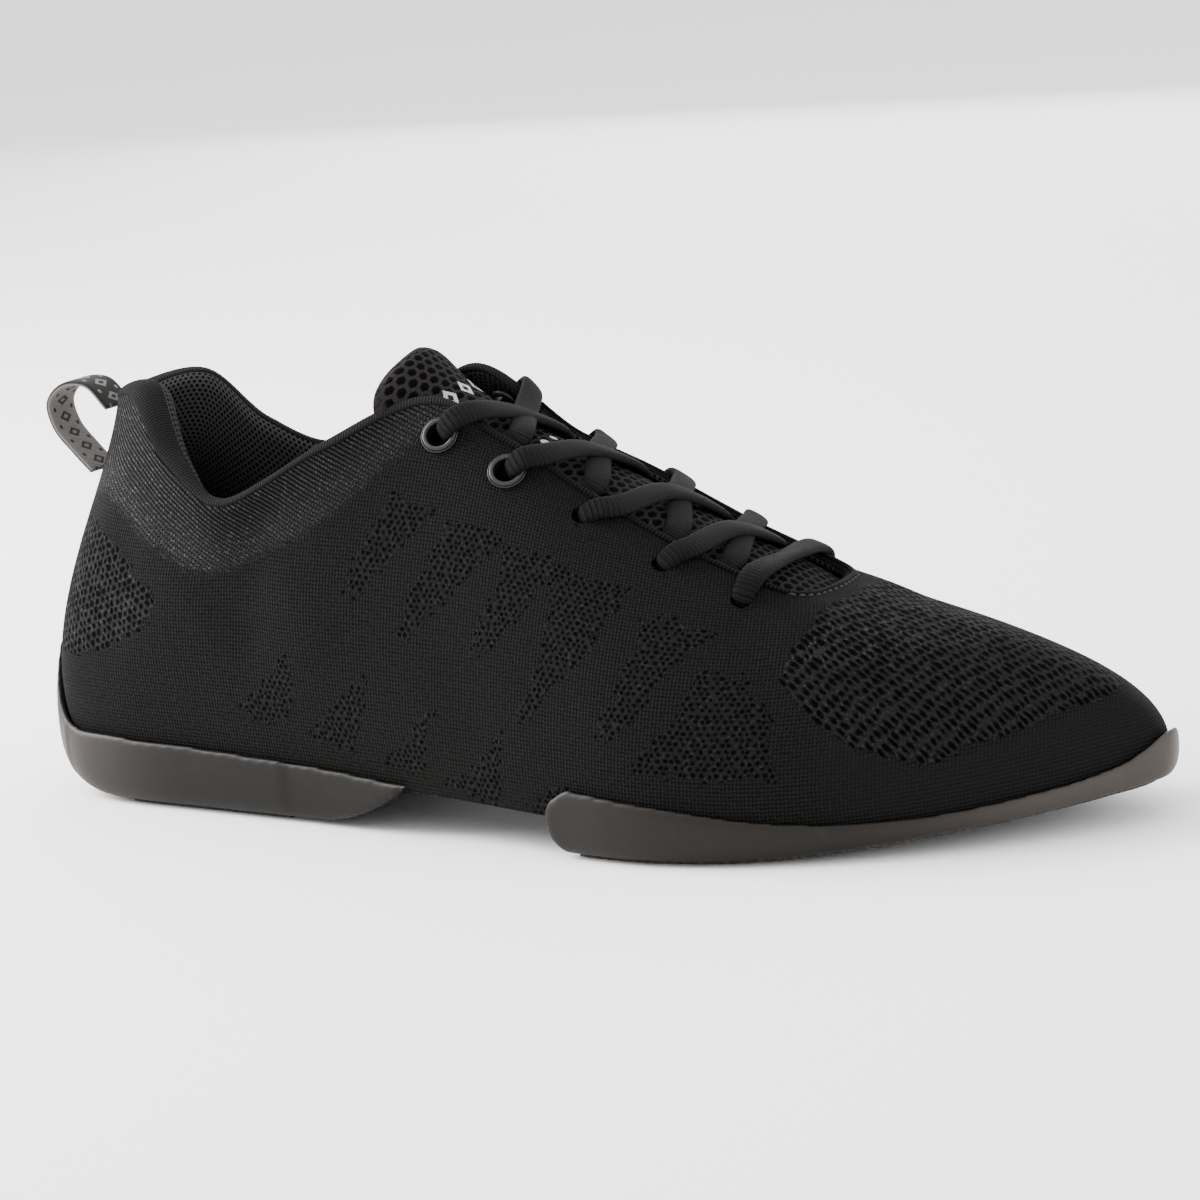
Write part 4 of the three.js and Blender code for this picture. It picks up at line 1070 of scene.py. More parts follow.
# %% Arch sheet
arch_place = np.linspace(0.6, 11.6, 200)[:, None]
arch_share = np.linspace(0, 1, 41)
outer_foot = feather(arch_place, np.full_like(arch_place, LATERAL))
inner_foot = feather(arch_place, np.full_like(arch_place, MEDIAL))
arch = outer_foot + (inner_foot - outer_foot) * arch_share[None, :, None]
arch_width = np.linalg.norm(inner_foot - outer_foot, axis=-1)
from_edge = np.minimum(arch_share, 1 - arch_share)[None] * arch_width
arch_cloth = np.stack([arch[..., 0], -from_edge, from_edge + 60], -1)
arch_zones = np.tile(PLAIN_ZONES, (arch.size // 3, 1))
make_piece("arch_knit", arch.reshape(-1, 3), grid_faces(*arch.shape[:2], False).tolist(), KNIT,
           "upper_knit", cloth=arch_cloth, cells=arch_cloth * 0, zones=arch_zones)

# %% [markdown]
# ## Collar tape
# The edge of the opening is bound from one eyestay round the heel to the other. The binding is a
# narrow ribbed knit, folded over the edge and sewn down, so it stands a little proud of the wall.
# It is resampled from the wall's own section at even steps over the edge.

# %% Tape material
tape_knit = Paint("collar_tape")
_, tape_run, tape_over, tape_seam = tape_knit.attribute("cloth")
place_3d = tape_knit.place()
wobble = tape_knit.noise(place_3d, 900.0, 1.0)
cross_rib = ((tape_run / 0.74 + wobble * 0.25).fraction() - 0.5).size() * 2
beads = (tape_over / 0.7 + wobble * 0.4).wave()
tape_height = cross_rib.between(0.1, 0.8) * 0.75 + beads * 0.25
groove = tape_seam.between(0.0, 0.7)
# Painted shade between the cross ribs, and along both long edges of the tape.
tape_colour = tape_knit.blend((tape_height * 0.6 + 0.4) * groove, (0.0005, 0.0005, 0.0005),
                              (0.0145, 0.0138, 0.0138))
TAPE = tape_knit.finish(tape_colour, 0.88, tape_knit.bump(tape_height * groove, 0.3),
                        Specular_IOR_Level=0.03)

# %% Tape piece
TAPE_END = 112  # last column of the tape on each side
TAPE_OUT, TAPE_SHARE, TAPE_STEPS = 0.4, 0.58, 24
TAPE_START = {"place": [0, 1.0, 1.8, 2.6, 3.4, 4.2], "share": [0, 0, 0.1, 0.24, 0.2, 0]}
tape_columns = np.arange(-TAPE_END, TAPE_END + 1)
SECTION_START, SECTION_END = 60, 24  # rows of the outer and the inner face
EDGE_ROW = CLIMB_ROWS - 1 - SECTION_START
section_rows = np.concatenate([outer_face[SECTION_START:], inner_face[1:SECTION_END]])
tape_rings, tape_cloth = [], []
for k in tape_columns:
    line = section_rows[:, k]
    run = running(line)
    edge_run = run[EDGE_ROW]
    fold = run[EDGE_ROW + LIP_STEPS] - edge_run
    starts = fold * np.interp(column_place[k], TAPE_START["place"], TAPE_START["share"])
    at = np.linspace(edge_run + starts - TAPE_OUT, edge_run + fold * TAPE_SHARE, TAPE_STEPS)
    ring = np.stack([np.interp(at, run, line[:, axis]) for axis in range(3)], -1)
    tape_rings.append(ring)
    from_end = np.minimum(at - at[0], at[-1] - at)
    tape_cloth.append(np.stack([0 * at, at - edge_run, from_end], -1))
tape_rings = np.array(tape_rings)
tape_cloth = np.array(tape_cloth)
top_line = outer_face[CLIMB_ROWS + 4, tape_columns]
tape_cloth[..., 0] = running(top_line)[:, None]
tape_normals = unit(np.cross(np.gradient(tape_rings, axis=1), np.gradient(tape_rings, axis=0)))
if np.mean(np.sum(tape_normals[:, 2] * sheet_normals[-8, tape_columns], -1)) < 0:
    tape_normals = -tape_normals
raised = 0.55 * smoothstep(tape_cloth[..., 2], -0.2, 0.9) - 0.15
tape_end_fade = smoothstep(TAPE_END - np.abs(tape_columns), 0, 4)[:, None]
tape_points = tape_rings + tape_normals * (raised * tape_end_fade)[..., None]
make_piece("collar_tape", tape_points.reshape(-1, 3),
           grid_faces(*tape_points.shape[:2], False).tolist(), TAPE, "upper_knit", cloth=tape_cloth)

# %% [markdown]
# ## Soles
# Each sole unit is moulded in one piece: a cup that holds the upper, a soft side, and a rounded
# end under the arch. The cup is drawn in fine rings, cut with the last and with the side profile
# as in the source, and remeshed and relaxed, which gives the small radii of a moulding.

# %% Sole sizes
TREAD = 1.2
RIM_LEDGE = 2.2
HEEL_BREAST = 70
HEEL_TIP = 110
NOSE_START = 149.5
NOSE_ROUND = 7
NOSE_LENGTH = 9
NOSE_HEIGHT = 17
CUP_GAP = 0.35
SOLE_SIDE = {"out": [0.15, 0.55, 0.88, 1.0, 0.97, 0.84], "rise": [0, 0.08, 0.3, 0.6, 0.86, 1.0]}
SOLE_VOXEL = 0.62
SOLE_RELAX = 14  # rounds of smoothing after the remesh


def rim_height(place):
    return column(FOOT_BED, "rim", place) * RIM_HEIGHT


def sole_reach(place, side):
    wall = last_point(place, side, np.arange(0, 1.001, 0.02)[:, None])
    below = np.logical_and.accumulate(wall[..., 2] <= rim_height(place), 0)
    away = np.sum((wall - feather(place, side)) * outward(place, side), -1)
    return np.where(below, away, 0).max(0) + RIM_LEDGE


# %% Closed forms
def closed_form(name, rings):
    """A closed mesh from rings that run once round the shoe, closed across at both ends."""
    rows, columns = rings.shape[:2]
    faces = grid_faces(rows, columns, True).tolist()
    for start, flip in ((0, True), ((rows - 1) * columns, False)):
        for i in range(columns // 2):
            band = [start + i, start + i + 1, start + columns - i - 1, start + (columns - i) % columns]
            band = list(dict.fromkeys(band))
            faces.append(band[::-1] if flip else band)
    return loose_object(name, rings.reshape(-1, 3), faces)


def loose_object(name, points, faces):
    mesh = bpy.data.meshes.new(name)
    mesh.from_pydata(((points + SHIFT) * MM).tolist(), [], faces)
    made = bpy.data.objects.new(name, mesh)
    bpy.context.scene.collection.objects.link(made)
    return made


def prism(name, outline, axis, half):
    """An outline pushed both ways along an axis, 1 for a side view and 2 for a plan."""
    count = len(outline)
    points = np.insert(np.tile(np.array(outline, float), (2, 1)), axis, 0, 1)
    points[:count, axis] = -half
    points[count:, axis] = half
    sides = [[i, (i + 1) % count, count + (i + 1) % count, count + i] for i in range(count)]
    faces = [*sides, list(range(count))[::-1], list(range(count, 2 * count))]
    made = loose_object(name, points, faces)
    made.data.validate()
    return made


def bezier(corners, count=14):
    """Points of a curve with three or four corners, without the first."""
    t = np.linspace(0, 1, count)[1:, None]
    points = [np.array([corner], float) for corner in corners]
    while len(points) > 1:
        points = [a * (1 - t) + b * t for a, b in zip(points, points[1:])]
    return points[0].tolist()


def face_outward(made):
    volume_mesh = made.data
    coords = np.empty(3 * len(volume_mesh.vertices))
    volume_mesh.vertices.foreach_get("co", coords)
    coords = coords.reshape(-1, 3)
    volume_mesh.calc_loop_triangles()
    corners = np.empty(3 * len(volume_mesh.loop_triangles), np.int32)
    volume_mesh.loop_triangles.foreach_get("vertices", corners)
    a, b, c = coords[corners.reshape(-1, 3)].transpose(1, 0, 2)
    if np.sum(np.cross(a, b) * c) < 0:
        volume_mesh.flip_normals()


def cut(target, tool, operation):
    for made in (target, tool):
        face_outward(made)
    modifier = target.modifiers.new("cut", "BOOLEAN")
    modifier.operation = operation
    modifier.solver = "MANIFOLD"
    modifier.object = tool
    bake(target)
    bpy.data.objects.remove(tool)


def bake(made):
    """Applies the modifiers of an object to its mesh."""
    bpy.context.view_layer.update()
    evaluated = made.evaluated_get(bpy.context.evaluated_depsgraph_get())
    mesh = bpy.data.meshes.new_from_object(evaluated)
    made.modifiers.clear()
    old = made.data
    made.data = mesh
    bpy.data.meshes.remove(old)


print("closed form helpers ready")

# %% Sole units
sole_place, sole_side_of = round_columns(14)
reach = sole_reach(sole_place, sole_side_of)
foot_ring = feather(sole_place, sole_side_of)
out_ring = outward(sole_place, sole_side_of)
floor_ring = TREAD + spring(column(FOOT_BED, "foot", sole_place) * LAST_LENGTH)
side_rows = np.linspace(0, len(SOLE_SIDE["out"]) - 1, 26)
rings = []
for out, rise in zip(column(SOLE_SIDE, "out", side_rows), column(SOLE_SIDE, "rise", side_rows)):
    ring = foot_ring + out_ring * (reach * out)[:, None]
    ring[:, 2] = floor_ring + rise * (rim_height(sole_place) - floor_ring)
    rings.append(ring)
sole_rings = np.array(rings)

body_sheet = last_point(sole_place, sole_side_of, np.linspace(0, 0.75, 60)[:, None])
along_body = np.roll(body_sheet, -1, 1) - np.roll(body_sheet, 1, 1)
body_normals = unit(np.cross(along_body, np.gradient(body_sheet, axis=0)))
body_rings = body_sheet + body_normals * CUP_GAP
bottom_ring = body_rings[:1].copy()
bottom_ring[..., 2] = body_sheet[0, :, 2] - CUP_GAP
body_rings = np.concatenate([bottom_ring, body_rings])

FAR = 2 * LAST_LENGTH
heel_outline = [(-FAR, -SEAT_HEIGHT), (HEEL_BREAST, -SEAT_HEIGHT), (HEEL_BREAST, 0)]
heel_outline += bezier([(HEEL_BREAST, 0), (HEEL_BREAST + 0.6 * (HEEL_TIP - HEEL_BREAST), 0),
                        (HEEL_TIP, SEAT_HEIGHT)])
heel_outline += [(HEEL_TIP, COLLAR_HEIGHT), (-FAR, COLLAR_HEIGHT)]
nose_under = NOSE_START + NOSE_LENGTH
nose_outline = [(nose_under, -SEAT_HEIGHT), (nose_under, 0)]
nose_outline += bezier([(nose_under, 0), (NOSE_START + 0.4 * NOSE_LENGTH, 0),
                        (NOSE_START, 0.25 * NOSE_HEIGHT), (NOSE_START, 0.55 * NOSE_HEIGHT)])
nose_outline += bezier([(NOSE_START, 0.55 * NOSE_HEIGHT), (NOSE_START, 0.85 * NOSE_HEIGHT),
                        (nose_under, NOSE_HEIGHT)])
nose_outline += [(NOSE_START + 2 * NOSE_LENGTH, COLLAR_HEIGHT), (FAR, COLLAR_HEIGHT),
                 (FAR, -SEAT_HEIGHT)]
half, r = BALL_WIDTH / 2 + NOSE_ROUND, NOSE_ROUND
strip_outline = [(NOSE_START + r, -half), (FAR, -half), (FAR, half), (NOSE_START + r, half)]
strip_outline += bezier([(NOSE_START + r, half), (NOSE_START, half), (NOSE_START, half - r)], 8)
strip_outline += [(NOSE_START, r - half)]
strip_outline += bezier([(NOSE_START, r - half), (NOSE_START, -half), (NOSE_START + r, -half)], 8)[:-1]
print("outlines of the sole units:", len(heel_outline), "and", len(nose_outline), "points")

# %% Sole material
sole_paint = Paint("moulded_sole")
place_3d = sole_paint.place()
sole_x, _, sole_height = sole_paint.split(place_3d)
grain = sole_paint.noise(place_3d, 1500.0, 3.0)
mottle = sole_paint.noise(place_3d, 35.0, 3.0)
scuff = sole_paint.noise(place_3d, 220.0, 4.0, 0.65).between(0.55, 0.8)
low = sole_height.between(0.0, 0.022)
tint = sole_paint.blend(mottle, (0.0330, 0.0270, 0.0232), (0.0380, 0.0314, 0.0272))
# Painted shade low on the sole, darkest at the floor.
tint = sole_paint.blend((1 - low) * 0.3, tint, (0.0150, 0.0126, 0.0110))
# Painted light and shade along the sole: it keeps its lighter colour at the heel's back and the toe's tip,
# and is painted darker between them, darkest toward the arch.
ends = ((1 - sole_x.between(-0.15, -0.085)) * 0.75).most(sole_x.between(0.08, 0.142) * 1.4)
middle_painted_shade = sole_paint.blend(sole_x.between(-0.01, 0.03), (0.0050, 0.0040, 0.0033),
                               (0.0105, 0.0087, 0.0074))
tint = sole_paint.blend(ends, middle_painted_shade, tint)
# More painted light on the tip of the toe.
tint = sole_paint.blend(sole_x.between(0.10, 0.142), tint, (0.0385, 0.0328, 0.0288))
tint = sole_paint.blend(scuff * 0.10, tint, (0.045, 0.042, 0.039))
SOLE = sole_paint.finish(tint, mottle * 0.1 + scuff * 0.1 + 0.42, sole_paint.bump(grain, 0.05, 0.6),
                         Specular_IOR_Level=0.12)


# %% Making a sole unit
def largest_part(made):
    """Keeps the largest connected part of a mesh, as numbers of vertices."""
    mesh = made.data
    edges = np.empty(2 * len(mesh.edges), np.int32)
    mesh.edges.foreach_get("vertices", edges)
    a, b = edges.reshape(-1, 2).T
    label = np.arange(len(mesh.vertices))
    while True:
        low = np.minimum(label[a], label[b])
        fresh = label.copy()
        np.minimum.at(fresh, a, low)
        np.minimum.at(fresh, b, low)
        fresh = fresh[fresh]
        if (fresh == label).all():
            return label == np.bincount(label).argmax()
        label = fresh


def sole_unit(name, node, *cutters):
    unit_form = closed_form(name, sole_rings)
    cut(unit_form, closed_form("last_body", body_rings), "DIFFERENCE")
    for outline, axis, half_depth in cutters:
        cut(unit_form, prism("cutter", outline, axis, half_depth), "INTERSECT")
    remesh = unit_form.modifiers.new("remesh", "REMESH")
    remesh.mode = "VOXEL"
    remesh.voxel_size = SOLE_VOXEL * MM
    relax = unit_form.modifiers.new("relax", "SMOOTH")
    relax.factor = 0.5
    relax.iterations = SOLE_RELAX
    bake(unit_form)
    coords = np.empty(3 * len(unit_form.data.vertices))
    unit_form.data.vertices.foreach_get("co", coords)
    keep = largest_part(unit_form)
    number = np.cumsum(keep) - 1
    kept = [[number[v] for v in face.vertices] for face in unit_form.data.polygons
            if keep[face.vertices[0]]]
    points = coords.reshape(-1, 3)[keep] / MM - SHIFT
    bpy.data.objects.remove(unit_form)
    return make_piece(name, points, kept, SOLE, "moulded_sole", [node])


WIDE = 2 * BALL_WIDTH
sole_unit("heel_sole", "sole_heel", (heel_outline, 1, WIDE))
sole_unit("forefoot_sole", "sole_forefoot", (nose_outline, 1, WIDE), (strip_outline, 2, WIDE))

# %% [markdown]
# ## Insole
# The foot bed is a thin foam sheet with a cloth top. It is a closed slab between the two feather
# lines, a little cupped, and it shows through the opening.

# %% Insole
INSOLE = 4
INSOLE_INSET = WALL + 0.3 + 1.8
INSOLE_CUP, INSOLE_ROUND = 0.7, 1.2
insole_place = np.linspace(0.35, 11.75, 150)[:, None]
lateral_line = feather(insole_place, np.full_like(insole_place, LATERAL))
medial_line = feather(insole_place, np.full_like(insole_place, MEDIAL))
across_foot = unit(medial_line - lateral_line)
lateral_line = lateral_line + across_foot * INSOLE_INSET
medial_line = medial_line - across_foot * INSOLE_INSET
share = (1 - np.cos(np.pi * np.linspace(0, 1, 33))) / 2
top = lateral_line + (medial_line - lateral_line) * share[None, :, None]
cup = INSOLE_CUP * (2 * share - 1) ** 4
rim_drop = INSOLE_ROUND * smoothstep(np.abs(2 * share - 1), 0.93, 1.0)
base = WALL + 0.45
top_face = top + UP * (base + INSOLE - INSOLE_CUP + cup - rim_drop)[None, :, None]
low_face = (top + UP * base)[:, ::-1]
insole_rings = np.concatenate([top_face, low_face], 1)
INSOLE_CLOTH = honeycomb_paint("insole_cloth", (0.006, 0.0058, 0.0055), (0.010, 0.0096, 0.0092), 1.1)
insole = make_piece("insole_sheet", insole_rings.reshape(-1, 3),
                    capped_faces(*insole_rings.shape[:2]), INSOLE_CLOTH, "insole_foam", ["insole"],
                    cloth=insole_rings)

# %% [markdown]
# ## Tongue
# The tongue is a padded sheet of spacer mesh: an open net of coarse cells over foam, with plain
# edges. Its sections come from the same table as the solid. A plain row of woven diamonds and a
# row of dots decorate it near the top.

# %% Tongue material
net = Paint("tongue_net")
_, tongue_run, tongue_across, tongue_edge = net.attribute("cloth")
place_3d = net.place()
wobble = net.noise(place_3d, 420.0, 1.0)
NET_WIDTH, NET_LENGTH = 2.9, 2.25
row = tongue_run / NET_LENGTH
stagger = row.floor() * 0.5
cell_x = ((tongue_across / NET_WIDTH + stagger + wobble * 0.2).fraction() - 0.5) * 1.3
cell_y = (row.fraction() - 0.5) * 1.1
from_middle = cell_x.size().most(cell_x.size() * 0.5 + cell_y.size() * 0.87)
open_cell = (1 - from_middle.between(0.38, 0.48)) * tongue_edge.between(1.6, 2.4)
strands = (tongue_across / 0.55 + tongue_run / 1.3).wave() * 0.5 + (tongue_run / 0.5).wave() * 0.5
net_height = from_middle.between(0.25, 0.56) * (strands * 0.2 + 0.8)
cloud = net.noise(place_3d, 45.0, 3.0)
net_yarn = net.blend(cloud, (0.0092, 0.0080, 0.0081), (0.0140, 0.0122, 0.0123))
# The open cells are painted near black, as painted shade.
net_colour = net.blend(open_cell, net.blend(strands * 0.5, net_yarn, (0.031, 0.0272, 0.0272)),
                       (0.0006, 0.0005, 0.0005))

MARK_AT, MARK_PITCH, MARK_HALF = 110.0, 5.2, 3.2
DOT_AT, DOT_PITCH = 86.0, 4.0
mark_u = (((tongue_across - 1.2) / MARK_PITCH).fraction() - 0.5).size() * MARK_PITCH / 2.0
mark_v = (tongue_run - MARK_AT).size() / MARK_HALF
diamond = 1 - (mark_u + mark_v).between(0.78, 0.86)
core = 1 - (mark_u + mark_v).between(0.28, 0.36)
diamond = (diamond - core) * (1 - tongue_across.size().between(10.2, 10.5))
dot_u = (((tongue_across + 1.0) / DOT_PITCH).fraction() - 0.5) * DOT_PITCH
dot_v = tongue_run - DOT_AT
dots = (1 - ((dot_u * dot_u + dot_v * dot_v) ** 0.5).between(0.95, 1.1))
dots = dots * (1 - tongue_across.size().between(9.9, 10.1))
outer_side = tongue_edge.between(-0.5, 0.2)
mark = diamond.most(dots) * outer_side
net_colour = net.blend(mark * 0.92, net_colour, (0.42, 0.415, 0.40))
net_bump = net.bump(net_height.toward(strands * 0.3 + 0.9, mark), 0.75)
TONGUE_NET = net.finish(net_colour, 0.88, net_bump, Specular_IOR_Level=0.04)

# %% Tongue sections
TONGUE_THICKNESS = 4
TONGUE = {
    "at": [0.745, 0.705, 0.65, 0.59, 0.53, 0.46, 0.41, 0.375, 0.355],
    "centre": [0.04, 0.03, 0.015, 0.01, 0.005, 0, 0, 0, 0],
    "rise": [0.475, 0.525, 0.622, 0.712, 0.795, 0.9, 0.985, 1.06, 1.11],
    "half": [0.205, 0.215, 0.215, 0.21, 0.205, 0.185, 0.185, 0.18, 0.13],
    "crown": [0.22, 0.3, 0.36, 0.4, 0.45, 0.7, 0.8, 0.76, 0.6],
    "tip": [16, 22, 28, 31, 33, 36, 39, 42, 44],
}
# The foam presses the tongue up against the inside of the throat.
PRESSED = {
    "x": [125, 140, 150, 174, 184, 193, 198, 202, 208],
    "up": [0, 1.2, 1.5, 1.1, 1.6, 2.3, 2.2, 1.5, 1.0],
}
TONGUE_ROWS, TONGUE_TURN = 150, 72
tongue_place = np.linspace(0, 8, TONGUE_ROWS)
tip = np.radians(column(TONGUE, "tip", tongue_place))
TIP_ROUND, TIP_HALF = 10.0, 20.0  # the free end is rounded over this length and this half width
half_width = column(TONGUE, "half", tongue_place) * BALL_WIDTH
crown = column(TONGUE, "crown", tongue_place)
line = np.stack([
    column(TONGUE, "at", tongue_place) * LAST_LENGTH,
    column(TONGUE, "centre", tongue_place) * BALL_WIDTH,
    column(TONGUE, "rise", tongue_place) * COLLAR_HEIGHT,
], -1)
line[:, 2] += np.interp(line[:, 0], PRESSED["x"], PRESSED["up"])
line_run = running(line)
square = np.stack([np.sin(tip), 0 * tip, np.cos(tip)], -1)
outline = oval(TONGUE_TURN, 3.2)
side_share = outline[:, 0] * (1 - 0.02 * (1 - outline[:, 1] ** 2))
depth = (1 - outline[:, 1]) / 2
from_tip = line_run[-1] - line_run
round_share = np.sqrt(1 - (1 - np.clip(from_tip / TIP_ROUND, 0, 1)) ** 2.6)
near_tip = 1 - smoothstep(from_tip, 3, 16)
half_width = (half_width + (TIP_HALF - half_width) * near_tip) * round_share
rounding = np.sqrt(np.clip(1 - (1 - np.clip(from_tip / 3.5, 0, 1)) ** 2, 0, 1))
thickness = TONGUE_THICKNESS * (0.12 + 0.88 * rounding)
pinch = 1 - 0.7 * np.abs(side_share) ** 4
crown = crown * (1 - 0.34 * near_tip) * (1 - 0.35 * smoothstep(line[:, 0], 176, 190))
drop = (crown * half_width)[:, None] * side_share**2
body_depth = 0.5 + (depth - 0.5)[None] * pinch[None] * (thickness / TONGUE_THICKNESS)[:, None]
tongue_points = line[:, None] + np.array([0.0, 1, 0]) * (half_width[:, None] * side_share)[..., None]
tongue_points = tongue_points - square[:, None] * (drop + TONGUE_THICKNESS * body_depth)[..., None]
tongue_cloth = np.stack([
    np.broadcast_to(line_run[:, None], drop.shape),
    half_width[:, None] * side_share,
    np.minimum(half_width[:, None] * (1 - np.abs(side_share)) - 0.3, from_tip[:, None] + 0.4),
], -1)
under = outline[:, 1] < -0.2
tongue_cloth[:, under, 1] += 300
print("tongue length, mm:", round(float(line_run[-1])))


# %% Tongue piece
def tongue_top(x):
    """The tongue's top surface on its centre line, at a distance from the heel."""
    return line[np.abs(line[:, 0] - x).argmin()]


tongue = make_piece("tongue_pad", tongue_points.reshape(-1, 3), capped_faces(TONGUE_ROWS, TONGUE_TURN),
                    TONGUE_NET, "tongue_mesh", ["tongue"], cloth=tongue_cloth)

# %% [markdown]
# ## Laces
# Flat woven laces, near black and matt, with fine cross ribs. Each strap comes up through a hole,
# is gathered by it, opens to its full width over the edge of the throat, crosses the tongue,
# goes in under the other edge and comes up through the next hole toward the toe. At the toe end
# one bar joins the two lowest holes. At the top the ends stop inside the eyelets.

# %% Lace material
LACE_RIB, LACE_PLAIT, LACE_FOLD = 0.62, 0.55, 1.15  # along, across, and where it is gathered
lace_paint = Paint("flat_lace")
_, lace_run, lace_across, gather_and_hole_shade = lace_paint.attribute("run")
place_3d = lace_paint.place()
wobble = lace_paint.noise(place_3d, 900.0, 1.0)
ribs = ((lace_run / LACE_RIB + wobble * 0.35).fraction() - 0.5).size() * 2
plait = ((lace_across / LACE_PLAIT) + (lace_run / LACE_RIB).floor() * 0.5).wave()
lace_height = ribs.between(0.05, 0.7) * 0.7 + plait * 0.3
cloud = lace_paint.noise(place_3d, 80.0, 2.0)
gathers = (lace_run / LACE_FOLD + wobble * 0.3).wave() * gather_and_hole_shade
lace_yarn = lace_paint.blend(cloud, (0.0116, 0.0112, 0.0112), (0.0156, 0.0150, 0.0150))
# Painted shade in the grooves between the ribs.
lace_colour = lace_paint.blend(lace_height * 0.75 + 0.25, (0.0008, 0.0008, 0.0008), lace_yarn)
# Painted shade in the troughs of the gathers, and more painted shade close to each hole.
lace_colour = lace_paint.blend((1 - gathers) * gather_and_hole_shade * 0.55, lace_colour,
                               (0.0004, 0.0004, 0.0004))
lace_colour = lace_paint.blend(gather_and_hole_shade ** 3 * 0.45, lace_colour, (0.0006, 0.0005, 0.0005))
LACE = lace_paint.finish(lace_colour, 0.8, lace_paint.bump(lace_height * 0.3 + gathers * 0.7, 0.4),
                         Specular_IOR_Level=0.05)

# %% Stops of a strap
LACE_WIDTH = 6.0
LACE_THICKNESS = 2.3
LACE_LIFT = 1.25
HIDDEN_THICKNESS = 1.1
EYELET_SEAT = 0.55


def throat_point(x, side):
    """Point and normal of the throat's edge at a distance from the heel."""
    low, high = 4.0, 9.5
    for _ in range(HALVINGS):
        place = (low + high) / 2
        if column(OPENING, "at", np.array(place)) * LAST_LENGTH > x:
            high = place
        else:
            low = place
    return on_last(low, side, 1)


def hole_at(row, side):
    return next(h for h in holes if h["row"] == row and h["side"] == side)


def stop(point, face, width=LACE_WIDTH, thick=LACE_THICKNESS):
    return {"point": point, "face": face, "width": width, "thick": thick}


def hole_stops(hole, target):
    """The lace from inside the wall, up through a hole and over toward a target."""
    normal = hole["normal"]
    toward = target - hole["point"]
    toward = unit(toward - normal * (toward @ normal))
    rim = EYELET_SEAT + EYELET_SHEET if hole["eyelet"] else 0
    across = 1.2 if hole["eyelet"] else 0.7
    rows = [
        (-4.6, across - 1.0, 3.8, -0.5, 1.0),
        (-1.6, across - 0.4, 4.2, -0.9, 0.4),
        (rim * 0.6 - 0.1, across, 4.6, -0.8, 0.6),
        (rim + 1.1, across + 2.8, 5.8, 0.0, 1.0),
    ]
    return [
        stop(hole["point"] + normal * up + toward * on, unit(toward * lean + normal * rise), width,
             LACE_THICKNESS - 0.2)
        for up, on, width, lean, rise in rows
    ]


def far_stops(x, side, hole):
    """The lace over the edge of the tongue, in under the far edge and up to a hole from inside."""
    point, normal = throat_point(x, side)
    inner_way = np.array([0, -side, 0.0])
    deep = -(WALL + 1.0)
    last = hole["point"] - hole["normal"] * (WALL + 1.3)
    return [
        stop(point + normal * (LACE_LIFT - 0.9) + inner_way * LACE_WIDTH * 0.85, normal),
        stop(point + normal * (deep + 0.9) + inner_way * 1.6, normal, thick=1.7),
        stop(point * 0.6 + last * 0.4 + normal * deep * 0.6, normal, 5.5, HIDDEN_THICKNESS),
        stop(last, hole["normal"], 4.0, HIDDEN_THICKNESS),
    ]


def softened(values):
    """Each value averaged with its neighbours."""
    return np.convolve(np.pad(values, 4, mode="edge"), np.ones(9) / 9, "valid")


def strap_path(stops, count):
    path = smooth_path([s["point"] for s in stops], 400)
    marks = [np.linalg.norm(path - s["point"], axis=1).argmin() for s in stops]
    steps = np.linspace(0, len(path) - 1, count)
    faces = np.stack([np.interp(steps, marks, [s["face"][i] for s in stops]) for i in range(3)], -1)
    width = np.interp(steps, marks, [s["width"] for s in stops])
    thick = np.interp(steps, marks, [s["thick"] for s in stops])
    return path[steps.astype(int)], unit(faces), softened(width), softened(thick)


# %% Straps
def crossing(row, side, layer):
    start = hole_at(row, side)
    end = hole_at(row - 1, -side)
    x = hole_at(row - 1, LATERAL)["point"][0] - (LACE_WIDTH * 1.2 if row == 2 else 2)
    near_x = start["point"][0] * 0.65 + x * 0.35
    rim = EYELET_SEAT + EYELET_SHEET if start["eyelet"] else 0
    near, near_normal = throat_point(near_x, side)
    near = near + near_normal * (LACE_LIFT + rim * 0.3)
    far = far_stops(x, -side, end)
    middle = (near + far[0]["point"]) / 2
    middle[2] = max(tongue_top(middle[0])[2], middle[2] - LACE_LIFT) + LACE_LIFT + layer
    middle_face = unit(near_normal + far[0]["face"])
    return [*hole_stops(start, near), stop(near, near_normal), stop(middle, middle_face), *far]


def gathered(rings, run):
    """Puts into run how much the lace is gathered by the nearest hole, which also sets painted shade."""
    away = np.min([np.linalg.norm(rings - hole["point"], axis=-1) for hole in holes], 0)
    run = run.copy()
    run[..., 2] = 1 - smoothstep(away, 5, 17)
    return run


LACE_OUTLINE = oval(20, 2.6)
LACE_STEPS = 130
lace_lengths = {}


def lace_sweep(stops, label):
    """One length of lace through its stops. Its length is noted under the label."""
    path, face, width, thick = strap_path(stops, LACE_STEPS)
    lace_lengths[label] = round(path_length(path))
    ring, run = sweep(path, face, width, thick, LACE_OUTLINE)
    return ring, gathered(ring, run)


for row in range(2, len(HOLE_ROWS) + 1):
    points, faces, runs = joined([
        lace_sweep(crossing(row, MEDIAL, 0.0), f"row {row} inner"),
        lace_sweep(crossing(row, LATERAL, LACE_THICKNESS * 0.7), f"row {row} outer"),
    ])
    make_piece(f"lace_strap_{row - 1}", points, faces, LACE, "lace", [f"lace_cross_{row - 1}"],
               run=runs)

